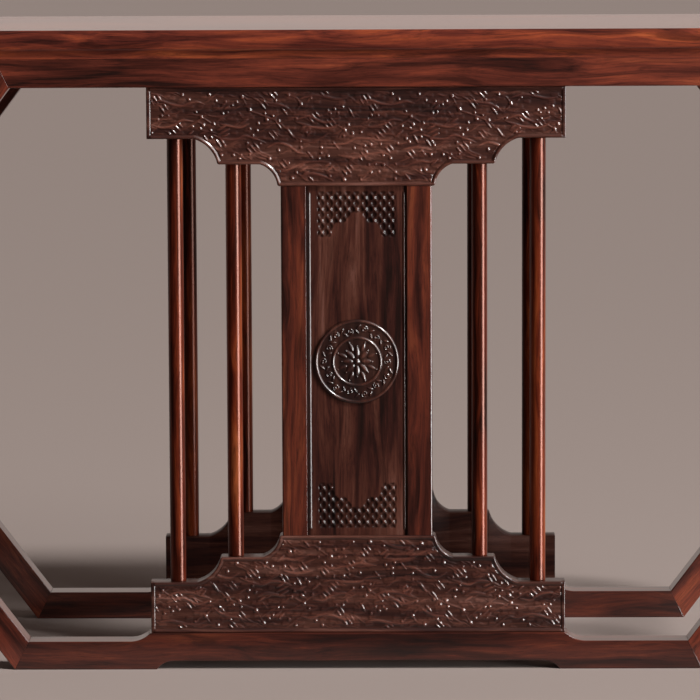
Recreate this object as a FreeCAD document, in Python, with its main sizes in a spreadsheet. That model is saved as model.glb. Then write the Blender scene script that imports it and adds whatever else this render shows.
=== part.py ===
import FreeCAD, Part
import os
import Sketcher

# An altar table of waxed rosewood: a framed top on two six-sided frames that stand one behind the other.
# Each frame holds a carved stepped panel above and below, four round columns and a framed centre panel.
# X runs along the table, the front faces -Y, Z is up, and the origin is on the floor below the middle.

doc = FreeCAD.newDocument("altar_table")

# Driving dimensions in millimetres, with the slope in degrees
driving_dimensions = [
    ("table_length", 2120, "overall length of the top"),
    ("table_depth", 526, "overall depth of the top, nose to nose"),
    ("table_height", 1060, "floor to the top surface"),
    ("top_thickness", 47, "thickness of the top's mitred frame"),
    ("top_rail_width", 84, "width of the rails round the top panel"),
    ("nose_height", 31, "height of the rounded upper part of the edge"),
    ("nose_bulge", 2.5, "how far the nose swells out"),
    ("cove_step", 2, "small square step below the nose"),
    ("cove_hollow", 2.5, "depth of the hollow below the step"),
    ("frame_setback", 8, "top's nose to the frames' outer faces"),
    ("panel_board", 16, "thickness of the top panel"),
    ("top_tongue", 6, "thickness of the top panel's tongue"),
    ("top_tongue_depth", 9, "how far that tongue goes into the rails"),
    ("tongue_cover", 4, "wood left above the tongue"),
    ("top_tenon", 12, "thickness of the corner tenons of the top"),
    ("top_tenon_width", 34, "width of the corner tenons of the top"),
    ("top_tenon_length", 26, "length of the corner tenons of the top"),
    ("batten_width", 34, "width of a batten under the top panel"),
    ("batten_height", 24, "depth of a batten below the panel"),
    ("dovetail_height", 5, "height of a batten's dovetail"),
    ("dovetail_width", 22, "width of the dovetail at the panel's underside"),
    ("dovetail_flare", 3, "how much wider the dovetail gets on each side"),
    ("batten_tenon", 14, "length of a batten's end tenons"),
    ("batten_shoulder", 6, "shoulder all round those tenons"),
    ("panel_float", 0.5, "room that the top panel has to swell"),
    ("member", 47, "square section of the six-sided frames"),
    ("slope", 53, "slope of the diagonals in degrees"),
    ("corner_inset", 493, "top's end to the frame's inner top corner"),
    ("foot_setback", 20, "how much narrower the frame is at the floor"),
    ("mitre_tenon", 14, "thickness of the tenons across the mitres"),
    ("mitre_tenon_width", 20, "width of the tenons across the mitres"),
    ("mitre_tenon_length", 16, "length of the tenons across the mitres"),
    ("rail_step", 14, "rise of the bottom rail under the carved panel"),
    ("step_ledge", 2, "carved panel's end to the end of that rise"),
    ("rail_step_run", 33, "length of the curve up to that rise"),
    ("rail_step_hollow", 3.6, "hollow of that curve"),
    ("foot_gap", 14, "height of the relief under the bottom rail"),
    ("foot_inset", 9, "carved panel's end to the foot's inner edge"),
    ("foot_curve_run", 27, "length of the curve from foot to relief"),
    ("foot_curve_hollow", 3.6, "roundness of that curve"),
    ("carved_half", 343, "half the width of a carved panel"),
    ("carved_thickness", 40, "thickness of a carved panel"),
    ("outer_drop", 84.5, "height of the carved panel at its ends"),
    ("middle_drop", 126.5, "height at its middle steps"),
    ("inner_drop", 162.5, "height at its centre"),
    ("outer_curve_start", 266, "where the outer curve leaves the end step"),
    ("outer_curve_end", 228, "where the outer curve meets the middle step"),
    ("outer_curve_hollow", 7, "hollow of the outer curve"),
    ("inner_curve_start", 157.5, "where the inner curve leaves the middle step"),
    ("inner_curve_end", 129.5, "where the inner curve meets the centre"),
    ("inner_curve_hollow", 5.8, "hollow of the inner curve"),
    ("cusp_round", 4, "rounding of the points between curves and steps"),
    ("rim_width", 5, "raised rim along the carved panel's edge"),
    ("rim_height", 2.5, "how far the rim stands above the ground"),
    ("carved_tongue", 12, "thickness of the carved panel's tongue"),
    ("carved_tongue_depth", 9, "how far that tongue goes into the rail"),
    ("carved_tongue_inset", 30, "shoulder at each end of that tongue"),
    ("column_diameter", 26, "diameter of a round column"),
    ("column_outer", 298, "outer columns from the middle"),
    ("column_inner", 202, "inner columns from the middle"),
    ("column_tenon", 15, "side of a column's square tenons"),
    ("column_tenon_length", 14, "length of a column's tenons"),
    ("stile_outer", 124, "outer edge of the centre stiles from the middle"),
    ("stile_width", 41, "width of a centre stile"),
    ("stile_depth", 36, "depth of a centre stile"),
    ("stile_round", 3, "rounding of a stile's long edges"),
    ("stile_tenon", 14, "thickness of a stile's tenons"),
    ("stile_shoulder", 8, "shoulder at each side of a stile's tenons"),
    ("stile_tenon_length", 14, "length of a stile's tenons"),
    ("centre_board", 16, "thickness of the centre panel"),
    ("centre_setback", 4, "stile's face to the centre panel's face"),
    ("centre_tongue", 8, "thickness of the centre panel's tongue"),
    ("centre_tongue_depth", 7, "how far that tongue goes into its grooves"),
    ("bead_width", 7, "width of the bead along the centre panel"),
    ("bead_height", 3, "how far that bead stands up"),
    ("bead_gap", 2, "quirk between the stile and the bead"),
    ("roundel_radius", 69.5, "outer radius of the roundel"),
    ("roundel_ring", 5.5, "width of the roundel's raised rings"),
    ("roundel_inner", 42, "outer radius of the inner ring"),
    ("roundel_board", 7, "thickness of the roundel's ground"),
    ("roundel_seat", 4, "how deep the roundel sits in the panel"),
    ("ring_height", 3.4, "height of the rings above the ground"),
    ("ring_bevel", 1.6, "width of the bevels along the rings"),
    ("tie_width", 40, "width of the cross rails between the frames"),
    ("tie_height", 30, "height of the cross rails between the frames"),
    ("tie_tenon", 18, "height of a cross rail's tenons"),
    ("tie_shoulder", 6, "shoulder at each side of those tenons"),
    ("top_tie_inset", 95, "frame's top corner to a top cross rail"),
    ("base_tie_inset", 72, "carved panel's end to a base cross rail"),
    ("side_tie_drop", 62, "side corner to a side cross rail, along the slope"),
    ("key_length", 40, "length of the loose keys below the top"),
    ("key_thickness", 12, "thickness of those keys"),
    ("key_height", 24, "height of those keys, half in each piece"),
    ("key_inset", 45, "frame's top corner to the outer keys"),
    ("key_centre", 160, "inner keys from the middle"),
    ("joint_clearance", 0.2, "glue gap round tenons, tongues and keys"),
]

sheet = doc.addObject("Spreadsheet::Sheet", "sizes")
for row, (alias, size, meaning) in enumerate(driving_dimensions, start=1):
    sheet.set(f"A{row}", alias)
    sheet.set(f"B{row}", str(size))
    sheet.setAlias(f"B{row}", alias)
    sheet.set(f"C{row}", meaning)
doc.recompute()

# Places that follow from the sizes
half_length = "sizes.table_length / 2"
half_depth = "sizes.table_depth / 2"
top_underside = "(sizes.table_height - sizes.top_thickness)"
rail_underside = "(sizes.table_height - sizes.top_thickness - sizes.member)"
panel_underside = "(sizes.table_height - sizes.panel_board)"
opening_half_length = "(sizes.table_length / 2 - sizes.top_rail_width)"
opening_half_depth = "(sizes.table_depth / 2 - sizes.top_rail_width)"
frame_offset = "(sizes.table_depth / 2 - sizes.frame_setback - sizes.member / 2)"
top_corner = "(sizes.table_length / 2 - sizes.corner_inset)"
base_corner = "(sizes.table_length / 2 - sizes.corner_inset - sizes.foot_setback)"
half_slope = "(sizes.slope * 1deg / 2)"
mitre_shift = f"(sizes.member * tan({half_slope}))"
frame_clear = f"({rail_underside} - sizes.member)"
side_corner = f"(({top_corner} + {base_corner} + {frame_clear} / tan(sizes.slope * 1deg)) / 2)"
side_height = f"({rail_underside} - ({side_corner} - {top_corner}) * tan(sizes.slope * 1deg))"
side_width = "(sizes.member / sin(sizes.slope * 1deg))"
carved_seat = "(sizes.member + sizes.rail_step)"
carved_face = "(sizes.carved_thickness / 2)"
stile_inner = "(sizes.stile_outer - sizes.stile_width)"
stile_foot = f"({carved_seat} + sizes.inner_drop)"
stile_head = f"({rail_underside} - sizes.inner_drop)"
panel_shift = "(-sizes.stile_depth / 2 + sizes.centre_setback + sizes.centre_board / 2)"
roundel_height = f"(({stile_foot} + {stile_head}) / 2)"
tie_half = "(sizes.table_depth / 2 - sizes.frame_setback - sizes.member)"
gap = "sizes.joint_clearance"

# How far a cut runs past a face that it opens
past_face = 5

# A quarter arc's height over its chord, as a share of its radius
quarter_arc = "(1 - cos(45deg))"


# The number that an expression has now
def number(expression):
    found = sheet.evalExpression(str(expression))
    return float(getattr(found, "Value", found))


# A vertical plane or the ground plane of a body, by its role
def plane_of(body, role):
    for plane in body.Origin.OriginFeatures:
        if plane.Role == role:
            return plane
    raise ValueError(f"no plane {role} in {body.Name}")


# A sub-part's body, whose label names its file
def new_body(label, y=None, z=None, turned=False):
    body = doc.addObject("PartDesign::Body", label)
    body.Label = label
    if turned:
        body.Placement = FreeCAD.Placement(FreeCAD.Vector(), FreeCAD.Rotation(FreeCAD.Vector(0, 0, 1), 180))
    if y is not None:
        body.setExpression("Placement.Base.y", y)
    if z is not None:
        body.setExpression("Placement.Base.z", z)
    return body


# An empty sketch on one of the body's own planes, raised by an offset along the plane's normal
def new_sketch(body, role, offset=None):
    sketch = body.newObject("Sketcher::SketchObject", f"{body.Name}_sketch")
    sketch.AttachmentSupport = [(plane_of(body, role), "")]
    sketch.MapMode = "FlatFace"
    if offset is not None:
        sketch.setExpression("AttachmentOffset.Base.z", offset)
    return sketch


# One bound dimension of a sketch
def bind(sketch, constraint, expression):
    index = sketch.addConstraint(constraint)
    sketch.setExpression(f"Constraints[{index}]", expression)


# A closed outline. A corner is (x, y), or (x, y, hollow) where an arc leads on to the next corner:
# the hollow is the arc's height over its chord, and it bends to the right of the way along the outline
# where the hollow's own sign is "+", and to the left where it is "-".
def draw_outline(sketch, corners):
    places = [FreeCAD.Vector(number(c[0]), number(c[1]), 0) for c in corners]
    ends = []
    for index, corner in enumerate(corners):
        start = places[index]
        finish = places[(index + 1) % len(corners)]
        if len(corner) == 2:
            sketch.addGeometry(Part.LineSegment(start, finish))
            ends.append((1, 2))
            continue
        sign, hollow = corner[2]
        rise = number(hollow)
        chord = finish - start
        radius = chord.Length**2 / (8 * rise) + rise / 2
        across = FreeCAD.Vector(chord.y, -chord.x, 0).normalize()
        if sign == "-":
            across = across.negative()
        middle = (start + finish) * 0.5 + across * rise
        arc = Part.Arc(start, middle, finish) if sign == "+" else Part.Arc(finish, middle, start)
        sketch.addGeometry(arc)
        ends.append((1, 2) if sign == "+" else (2, 1))
        following = corners[(index + 1) % len(corners)]
        square = f"((({following[0]}) - ({corner[0]}))^2 + (({following[1]}) - ({corner[1]}))^2)"
        bind(
            sketch,
            Sketcher.Constraint("Radius", index, radius),
            f"{square} / (8 * ({hollow})) + ({hollow}) / 2",
        )
    for index, corner in enumerate(corners):
        before = (index - 1) % len(corners)
        sketch.addConstraint(
            Sketcher.Constraint("Coincident", before, ends[before][1], index, ends[index][0])
        )
        spot = ends[index][0]
        bind(sketch, Sketcher.Constraint("DistanceX", index, spot, places[index].x), str(corner[0]))
        bind(sketch, Sketcher.Constraint("DistanceY", index, spot, places[index].y), str(corner[1]))
    return sketch


# A pad or pocket from a sketch: centred on the sketch's plane, or from the plane upwards
def extrude(body, sketch, kind, length, centred=False, upward=False, through=False):
    feature = body.newObject(f"PartDesign::{kind}", f"{body.Name}_{kind.lower()}")
    feature.Profile = sketch
    if through:
        feature.Type = "ThroughAll"
    else:
        feature.setExpression("Length", length)
    feature.Midplane = centred
    if upward and kind == "Pocket":
        feature.Reversed = True
    return feature


# A mortise, groove or tenon with square sides, between two corners
def square_feature(body, kind, low, high):
    sketch = new_sketch(body, "XY_Plane", low[2])
    corners = [(low[0], low[1]), (high[0], low[1]), (high[0], high[1]), (low[0], high[1])]
    draw_outline(sketch, corners)
    return extrude(body, sketch, kind, f"({high[2]}) - ({low[2]})", upward=True)


# The four corners of a block that lies across a mitre, turned by an angle from the X axis.
# It runs from start to finish along that direction, on both sides of the middle point.
def turned_block(middle, angle, start, finish, width):
    corners = []
    for along, side in ((start, 1), (finish, 1), (finish, -1), (start, -1)):
        x = f"({middle[0]}) + ({along}) * cos({angle}) - ({side}) * ({width}) / 2 * sin({angle})"
        z = f"({middle[1]}) + ({along}) * sin({angle}) + ({side}) * ({width}) / 2 * cos({angle})"
        corners.append((x, z))
    return corners


# The same value on the other side of the middle
def sided(side, expression):
    return f"({side}) * ({expression})"


# Where each mitre lies and which way its tenon points: middle of the mitre and the tenon's direction
def mitre_at(corner, side):
    if corner == "top":
        middle = (f"{top_corner} + {mitre_shift} / 2", f"{rail_underside} + sizes.member / 2")
        angle = f"(180deg - {half_slope})"
    elif corner == "base":
        middle = (f"{base_corner} + {mitre_shift} / 2", "sizes.member / 2")
        angle = f"(180deg + {half_slope})"
    else:
        middle = (f"{side_corner} + {side_width} / 2", side_height)
        angle = "270deg"
    if side < 0:
        angle = f"(180deg - {angle})"
    return (sided(side, middle[0]), middle[1]), angle


# The tenon of a diagonal goes through the mitre into the next piece
def add_mitre_tenon(body, corner, side):
    middle, angle = mitre_at(corner, side)
    sketch = new_sketch(body, "XZ_Plane")
    root = "-sizes.mitre_tenon_length / 2"
    tip = "sizes.mitre_tenon_length"
    draw_outline(sketch, turned_block(middle, angle, root, tip, "sizes.mitre_tenon_width"))
    extrude(body, sketch, "Pad", "sizes.mitre_tenon", centred=True)


# The mortise for that tenon, larger by the glue gap
def cut_mitre_mortise(body, corner, side):
    middle, angle = mitre_at(corner, side)
    sketch = new_sketch(body, "XZ_Plane")
    draw_outline(
        sketch,
        turned_block(
            middle,
            angle,
            "-sizes.mitre_tenon_length / 2",
            f"sizes.mitre_tenon_length + {gap}",
            f"(sizes.mitre_tenon_width + 2 * {gap})",
        ),
    )
    extrude(body, sketch, "Pocket", f"sizes.mitre_tenon + 2 * {gap}", centred=True)


# A mitred rail of the top with its moulded edge, groove and corner joints
def make_top_rail(label, reach, other_reach, angle, tenoned):
    body = new_body(label)
    body.Placement = FreeCAD.Placement(FreeCAD.Vector(), FreeCAD.Rotation(FreeCAD.Vector(0, 0, 1), angle))
    inner = f"({reach} - sizes.top_rail_width)"
    other_inner = f"({other_reach} - sizes.top_rail_width)"
    blank = new_sketch(body, "XY_Plane", top_underside)
    draw_outline(
        blank,
        [
            (f"-({other_reach} + {past_face})", f"-({reach} + {past_face})"),
            (f"{other_reach} + {past_face}", f"-({reach} + {past_face})"),
            (other_inner, f"-{inner}"),
            (f"-{other_inner}", f"-{inner}"),
        ],
    )
    extrude(body, blank, "Pad", "sizes.top_thickness")
    moulding = new_sketch(body, "YZ_Plane")
    nose = f"-({reach} - sizes.nose_bulge)"
    below_nose = "sizes.table_height - sizes.nose_height"
    draw_outline(
        moulding,
        [
            (nose, "sizes.table_height", ("+", "sizes.nose_bulge")),
            (nose, below_nose),
            (f"{nose} + sizes.cove_step", below_nose, ("-", "sizes.cove_hollow")),
            (f"-({reach} - sizes.frame_setback)", top_underside),
            (f"-({reach} + 2 * {past_face})", top_underside),
            (f"-({reach} + 2 * {past_face})", "sizes.table_height"),
        ],
    )
    extrude(body, moulding, "Pocket", None, centred=True, through=True)
    groove = new_sketch(body, "YZ_Plane")
    tongue_top = f"(sizes.table_height - sizes.tongue_cover + {gap})"
    tongue_bottom = f"(sizes.table_height - sizes.tongue_cover - sizes.top_tongue - {gap})"
    draw_outline(
        groove,
        [
            (f"-({inner} + sizes.top_tongue_depth + {gap})", tongue_bottom),
            (f"-({inner} - {past_face})", tongue_bottom),
            (f"-({inner} - {past_face})", tongue_top),
            (f"-({inner} + sizes.top_tongue_depth + {gap})", tongue_top),
        ],
    )
    extrude(body, groove, "Pocket", None, centred=True, through=True)
    middle = "sizes.top_rail_width / 2"
    low = f"{top_underside} + sizes.top_thickness / 2 - sizes.top_tenon"
    for side in (-1, 1):
        if tenoned:
            near = f"{other_inner} + {middle} - sizes.top_tenon_width / 2"
            far = f"{other_inner} + {middle} + sizes.top_tenon_length"
            ends = sorted([sided(side, near), sided(side, far)], key=number)
            square_feature(
                body,
                "Pad",
                (ends[0], f"-({inner} + {middle} + sizes.top_tenon_width / 2)", low),
                (ends[1], f"-({inner} + {middle} - sizes.top_tenon_width / 2)", f"{low} + sizes.top_tenon"),
            )
        else:
            far = f"({other_inner} + {middle} + sizes.top_tenon_width / 2 + {gap})"
            near = f"({other_inner} + {middle} - sizes.top_tenon_width / 2 - {gap})"
            ends = sorted([sided(side, near), sided(side, far)], key=number)
            square_feature(
                body,
                "Pocket",
                (ends[0], f"-({inner} + {middle} + sizes.top_tenon_length + {gap})", f"{low} - {gap}"),
                (ends[1], f"-({inner} - {past_face})", f"{low} + sizes.top_tenon + {gap}"),
            )
    return body


# Where the battens cross the top, evenly spaced along the panel
batten_count = 4
batten_places = [
    f"({step} * 2 * {opening_half_length} / {batten_count + 1} - {opening_half_length})"
    for step in range(1, batten_count + 1)
]
batten_middle = f"({panel_underside} - sizes.batten_height / 2)"
key_places = [
    sided(side, place)
    for side in (-1, 1)
    for place in (f"{top_corner} - sizes.key_inset", "sizes.key_centre")
]


# A long rail of the top, with mortises for the battens and the loose keys
def make_long_rail(label, angle):
    body = make_top_rail(label, half_depth, half_length, angle, tenoned=True)
    for x in batten_places:
        half_width = f"(sizes.batten_width / 2 - sizes.batten_shoulder + {gap})"
        square_feature(
            body,
            "Pocket",
            (
                f"{x} - {half_width}",
                f"-({opening_half_depth} + sizes.batten_tenon + {gap})",
                f"{batten_middle} - sizes.batten_height / 2 + sizes.batten_shoulder - {gap}",
            ),
            (
                f"{x} + {half_width}",
                f"-({opening_half_depth} - {past_face})",
                f"{batten_middle} + sizes.batten_height / 2 - sizes.batten_shoulder + {gap}",
            ),
        )
    key_top = f"{top_underside} + sizes.key_height / 2 + {gap}"
    for x in key_places:
        cut_key_mortise(body, x, f"-{frame_offset}", top_underside, key_top)
    return body


# Half of a loose key's mortise
def cut_key_mortise(body, x, y, low, high):
    square_feature(
        body,
        "Pocket",
        (f"{x} - sizes.key_length / 2 - {gap}", f"{y} - sizes.key_thickness / 2 - {gap}", low),
        (f"{x} + sizes.key_length / 2 + {gap}", f"{y} + sizes.key_thickness / 2 + {gap}", high),
    )


# The loose floating panel of the top, tongued all round and grooved below for the battens
def make_top_panel():
    body = new_body("top_panel")
    board = (f"({opening_half_length} - sizes.panel_float)", f"({opening_half_depth} - sizes.panel_float)")
    square_feature(
        body,
        "Pad",
        (f"-{board[0]}", f"-{board[1]}", panel_underside),
        (board[0], board[1], "sizes.table_height"),
    )
    tongue = [f"({side} + sizes.top_tongue_depth)" for side in board]
    square_feature(
        body,
        "Pad",
        (f"-{tongue[0]}", f"-{tongue[1]}", "sizes.table_height - sizes.tongue_cover - sizes.top_tongue"),
        (tongue[0], tongue[1], "sizes.table_height - sizes.tongue_cover"),
    )
    for x in batten_places:
        groove = new_sketch(body, "XZ_Plane")
        narrow = f"(sizes.dovetail_width / 2 + {gap})"
        wide = f"(sizes.dovetail_width / 2 + sizes.dovetail_flare + {gap})"
        draw_outline(
            groove,
            [
                (f"{x} - {narrow}", panel_underside),
                (f"{x} + {narrow}", panel_underside),
                (f"{x} + {wide}", f"{panel_underside} + sizes.dovetail_height + {gap}"),
                (f"{x} - {wide}", f"{panel_underside} + sizes.dovetail_height + {gap}"),
            ],
        )
        extrude(body, groove, "Pocket", None, centred=True, through=True)
    return body


# A batten that slides into its dovetail groove and is tenoned into both long rails
def make_batten(label, x):
    body = new_body(label)
    section = new_sketch(body, "XZ_Plane")
    low = f"{panel_underside} - sizes.batten_height"
    half = "sizes.batten_width / 2"
    narrow = "sizes.dovetail_width / 2"
    wide = "(sizes.dovetail_width / 2 + sizes.dovetail_flare)"
    draw_outline(
        section,
        [
            (f"{x} - {half}", low),
            (f"{x} + {half}", low),
            (f"{x} + {half}", panel_underside),
            (f"{x} + {narrow}", panel_underside),
            (f"{x} + {wide}", f"{panel_underside} + sizes.dovetail_height"),
            (f"{x} - {wide}", f"{panel_underside} + sizes.dovetail_height"),
            (f"{x} - {narrow}", panel_underside),
            (f"{x} - {half}", panel_underside),
        ],
    )
    extrude(body, section, "Pad", f"2 * {opening_half_depth}", centred=True)
    square_feature(
        body,
        "Pad",
        (
            f"{x} - {half} + sizes.batten_shoulder",
            f"-({opening_half_depth} + sizes.batten_tenon)",
            f"{low} + sizes.batten_shoulder",
        ),
        (
            f"{x} + {half} - sizes.batten_shoulder",
            f"{opening_half_depth} + sizes.batten_tenon",
            f"{panel_underside} - sizes.batten_shoulder",
        ),
    )
    return body


# The loose keys that lock the top to both frames, one group of equal blocks
def make_keys():
    blocks = []
    for row in (-1, 1):
        for x in key_places:
            block = doc.addObject("Part::Box", "key_block")
            block.setExpression("Length", "sizes.key_length")
            block.setExpression("Width", "sizes.key_thickness")
            block.setExpression("Height", "sizes.key_height")
            block.setExpression("Placement.Base.x", f"{x} - sizes.key_length / 2")
            block.setExpression("Placement.Base.y", f"{row} * {frame_offset} - sizes.key_thickness / 2")
            block.setExpression("Placement.Base.z", f"{top_underside} - sizes.key_height / 2")
            blocks.append(block)
    keys = doc.addObject("Part::Compound", "top_keys")
    keys.Label = "top_keys"
    keys.Links = blocks
    return keys


# A frame piece stands in the frame's own plane. The rear frame is the front one turned about.
def frame_body(label, rear):
    return new_body(label, y=frame_offset if rear else f"-{frame_offset}", turned=rear)


# Mortise in a frame's inner face for a cross rail's tenon
def cut_tie_mortise(body, middle, angle):
    sketch = new_sketch(body, "XZ_Plane")
    half = f"(sizes.tie_width / 2 - sizes.tie_shoulder + {gap})"
    draw_outline(sketch, turned_block(middle, angle, f"-{half}", half, f"(sizes.tie_tenon + 2 * {gap})"))
    extrude(body, sketch, "Pocket", None, through=True)


top_tie = (f"({top_corner} - sizes.top_tie_inset)", f"({rail_underside} + sizes.member / 2)")
base_tie = ("(sizes.carved_half - sizes.base_tie_inset)", f"((sizes.foot_gap + {carved_seat}) / 2)")
side_tie = (
    f"({side_corner} + {side_width} / 2 - sizes.side_tie_drop * cos(sizes.slope * 1deg))",
    f"({side_height} - sizes.side_tie_drop * sin(sizes.slope * 1deg))",
)


# The angle of a side cross rail, which lies square to its diagonal
def side_tie_angle(side):
    return f"({side} * sizes.slope * 1deg)"


# The frame's top rail, mitred at both ends
def make_frame_top_rail(label, rear):
    body = frame_body(label, rear)
    outline = new_sketch(body, "XZ_Plane")
    draw_outline(
        outline,
        [
            (f"-{top_corner}", rail_underside),
            (top_corner, rail_underside),
            (f"{top_corner} + {mitre_shift}", top_underside),
            (f"-({top_corner} + {mitre_shift})", top_underside),
        ],
    )
    extrude(body, outline, "Pad", "sizes.member", centred=True)
    tongue_half = f"(sizes.carved_half - sizes.carved_tongue_inset + {gap})"
    tongue_side = f"(sizes.carved_tongue / 2 + {gap})"
    square_feature(
        body,
        "Pocket",
        (f"-{tongue_half}", f"-{tongue_side}", rail_underside),
        (tongue_half, tongue_side, f"{rail_underside} + sizes.carved_tongue_depth + {gap}"),
    )
    for x in key_places:
        cut_key_mortise(body, x, "0", f"{top_underside} - sizes.key_height / 2 - {gap}", top_underside)
    for side in (-1, 1):
        cut_mitre_mortise(body, "top", side)
        cut_tie_mortise(body, (sided(side, top_tie[0]), top_tie[1]), "0deg")
    return body


# The frame's bottom rail: mitred ends, a rise under the carved panel and a relief between two feet
def make_frame_bottom_rail(label, rear):
    body = frame_body(label, rear)
    outline = new_sketch(body, "XZ_Plane")
    outer = f"({base_corner} + {mitre_shift})"
    foot = "(sizes.carved_half - sizes.foot_inset)"
    relief = f"({foot} - sizes.foot_curve_run)"
    ledge = "(sizes.carved_half + sizes.step_ledge)"
    rise_start = f"({ledge} + sizes.rail_step_run)"
    draw_outline(
        outline,
        [
            (f"-{outer}", "0"),
            (f"-{foot}", "0", ("-", "sizes.foot_curve_hollow")),
            (f"-{relief}", "sizes.foot_gap"),
            (relief, "sizes.foot_gap", ("-", "sizes.foot_curve_hollow")),
            (foot, "0"),
            (outer, "0"),
            (base_corner, "sizes.member"),
            (rise_start, "sizes.member", ("-", "sizes.rail_step_hollow")),
            (ledge, carved_seat),
            (f"-{ledge}", carved_seat, ("-", "sizes.rail_step_hollow")),
            (f"-{rise_start}", "sizes.member"),
            (f"-{base_corner}", "sizes.member"),
        ],
    )
    extrude(body, outline, "Pad", "sizes.member", centred=True)
    tongue_half = f"(sizes.carved_half - sizes.carved_tongue_inset + {gap})"
    tongue_side = f"(sizes.carved_tongue / 2 + {gap})"
    square_feature(
        body,
        "Pocket",
        (f"-{tongue_half}", f"-{tongue_side}", f"{carved_seat} - sizes.carved_tongue_depth - {gap}"),
        (tongue_half, tongue_side, carved_seat),
    )
    for side in (-1, 1):
        cut_mitre_mortise(body, "base", side)
        cut_tie_mortise(body, (sided(side, base_tie[0]), base_tie[1]), "0deg")
    return body


# An upper diagonal, tenoned across the mitre at both ends
def make_upper_diagonal(label, rear, side):
    body = frame_body(label, rear)
    outline = new_sketch(body, "XZ_Plane")
    draw_outline(
        outline,
        [
            (sided(side, top_corner), rail_underside),
            (sided(side, f"{top_corner} + {mitre_shift}"), top_underside),
            (sided(side, f"{side_corner} + {side_width}"), side_height),
            (sided(side, side_corner), side_height),
        ],
    )
    extrude(body, outline, "Pad", "sizes.member", centred=True)
    add_mitre_tenon(body, "top", side)
    add_mitre_tenon(body, "side", side)
    return body


# A lower diagonal, tenoned into the bottom rail and mortised for the upper one and for the cross rail
def make_lower_diagonal(label, rear, side):
    body = frame_body(label, rear)
    outline = new_sketch(body, "XZ_Plane")
    draw_outline(
        outline,
        [
            (sided(side, side_corner), side_height),
            (sided(side, f"{side_corner} + {side_width}"), side_height),
            (sided(side, f"{base_corner} + {mitre_shift}"), "0"),
            (sided(side, base_corner), "sizes.member"),
        ],
    )
    extrude(body, outline, "Pad", "sizes.member", centred=True)
    add_mitre_tenon(body, "base", side)
    cut_mitre_mortise(body, "side", side)
    cut_tie_mortise(body, (sided(side, side_tie[0]), side_tie[1]), side_tie_angle(side))
    return body


# The stepped outline of a carved panel, from the rail that holds it to its middle
def carved_corners(upper):
    bend_in, bend_out = ("+", "-") if upper else ("-", "+")
    corner = f"(sizes.cusp_round * {quarter_arc})"

    def level(height):
        return f"{rail_underside} - ({height})" if upper else f"{carved_seat} + ({height})"

    right = [
        ("sizes.carved_half", "0", None),
        ("sizes.carved_half", "sizes.outer_drop", None),
        ("sizes.outer_curve_start", "sizes.outer_drop", (bend_in, "sizes.outer_curve_hollow")),
        ("sizes.outer_curve_end", "sizes.middle_drop - sizes.cusp_round", (bend_out, corner)),
        ("sizes.outer_curve_end - sizes.cusp_round", "sizes.middle_drop", None),
        ("sizes.inner_curve_start", "sizes.middle_drop", (bend_in, "sizes.inner_curve_hollow")),
        ("sizes.inner_curve_end", "sizes.inner_drop - sizes.cusp_round", (bend_out, corner)),
        ("sizes.inner_curve_end - sizes.cusp_round", "sizes.inner_drop", None),
    ]
    corners = [(x, level(height), arc) for x, height, arc in right]
    # On the way back along the other side, an arc leaves from the corner where its twin arrived
    twins = [arc for x, height, arc in reversed(right[:-1])] + [None]
    for (x, height, own), arc in zip(reversed(right), twins):
        corners.append((f"-({x})", level(height), arc))
    return [corner if corner[2] else corner[:2] for corner in corners]


# A carved panel: its stepped board, the sunk ground inside a raised rim, its tongue and its mortises
def make_carved_panel(label, rear, upper):
    body = new_body(f"{label}_board")
    outline = new_sketch(body, "XZ_Plane")
    draw_outline(outline, carved_corners(upper))
    extrude(body, outline, "Pad", "sizes.carved_thickness", centred=True)
    tongue_half = "(sizes.carved_half - sizes.carved_tongue_inset)"
    tongue_low = rail_underside if upper else f"{carved_seat} - sizes.carved_tongue_depth"
    square_feature(
        body,
        "Pad",
        (f"-{tongue_half}", "-sizes.carved_tongue / 2", tongue_low),
        (tongue_half, "sizes.carved_tongue / 2", f"{tongue_low} + sizes.carved_tongue_depth"),
    )
    columns = (("sizes.column_outer", "sizes.outer_drop"), ("sizes.column_inner", "sizes.middle_drop"))
    half = f"(sizes.column_tenon / 2 + {gap})"
    for place, drop in columns:
        depth = f"sizes.column_tenon_length + {gap}"
        low = f"{rail_underside} - {drop}" if upper else f"{carved_seat} + {drop} - ({depth})"
        for side in (-1, 1):
            x = sided(side, place)
            square_feature(
                body,
                "Pocket",
                (f"{x} - {half}", f"-{half}", low),
                (f"{x} + {half}", half, f"{low} + {depth}"),
            )
    for side in (-1, 1):
        depth = f"sizes.stile_tenon_length + {gap}"
        low = stile_head if upper else f"{stile_foot} - ({depth})"
        near = f"{stile_inner} + sizes.stile_shoulder - {gap}"
        far = f"sizes.stile_outer - sizes.stile_shoulder + {gap}"
        ends = sorted([sided(side, near), sided(side, far)], key=number)
        square_feature(
            body,
            "Pocket",
            (ends[0], f"-(sizes.stile_tenon / 2 + {gap})", low),
            (ends[1], f"sizes.stile_tenon / 2 + {gap}", f"{low} + {depth}"),
        )
    depth = f"sizes.centre_tongue_depth + {gap}"
    low = stile_head if upper else f"{stile_foot} - ({depth})"
    square_feature(
        body,
        "Pocket",
        (f"-({stile_inner} - {gap})", f"{panel_shift} - sizes.centre_tongue / 2 - {gap}", low),
        (f"{stile_inner} - {gap}", f"{panel_shift} + sizes.centre_tongue / 2 + {gap}", f"{low} + {depth}"),
    )
    return sink_ground(body, outline, label, rear)


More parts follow.
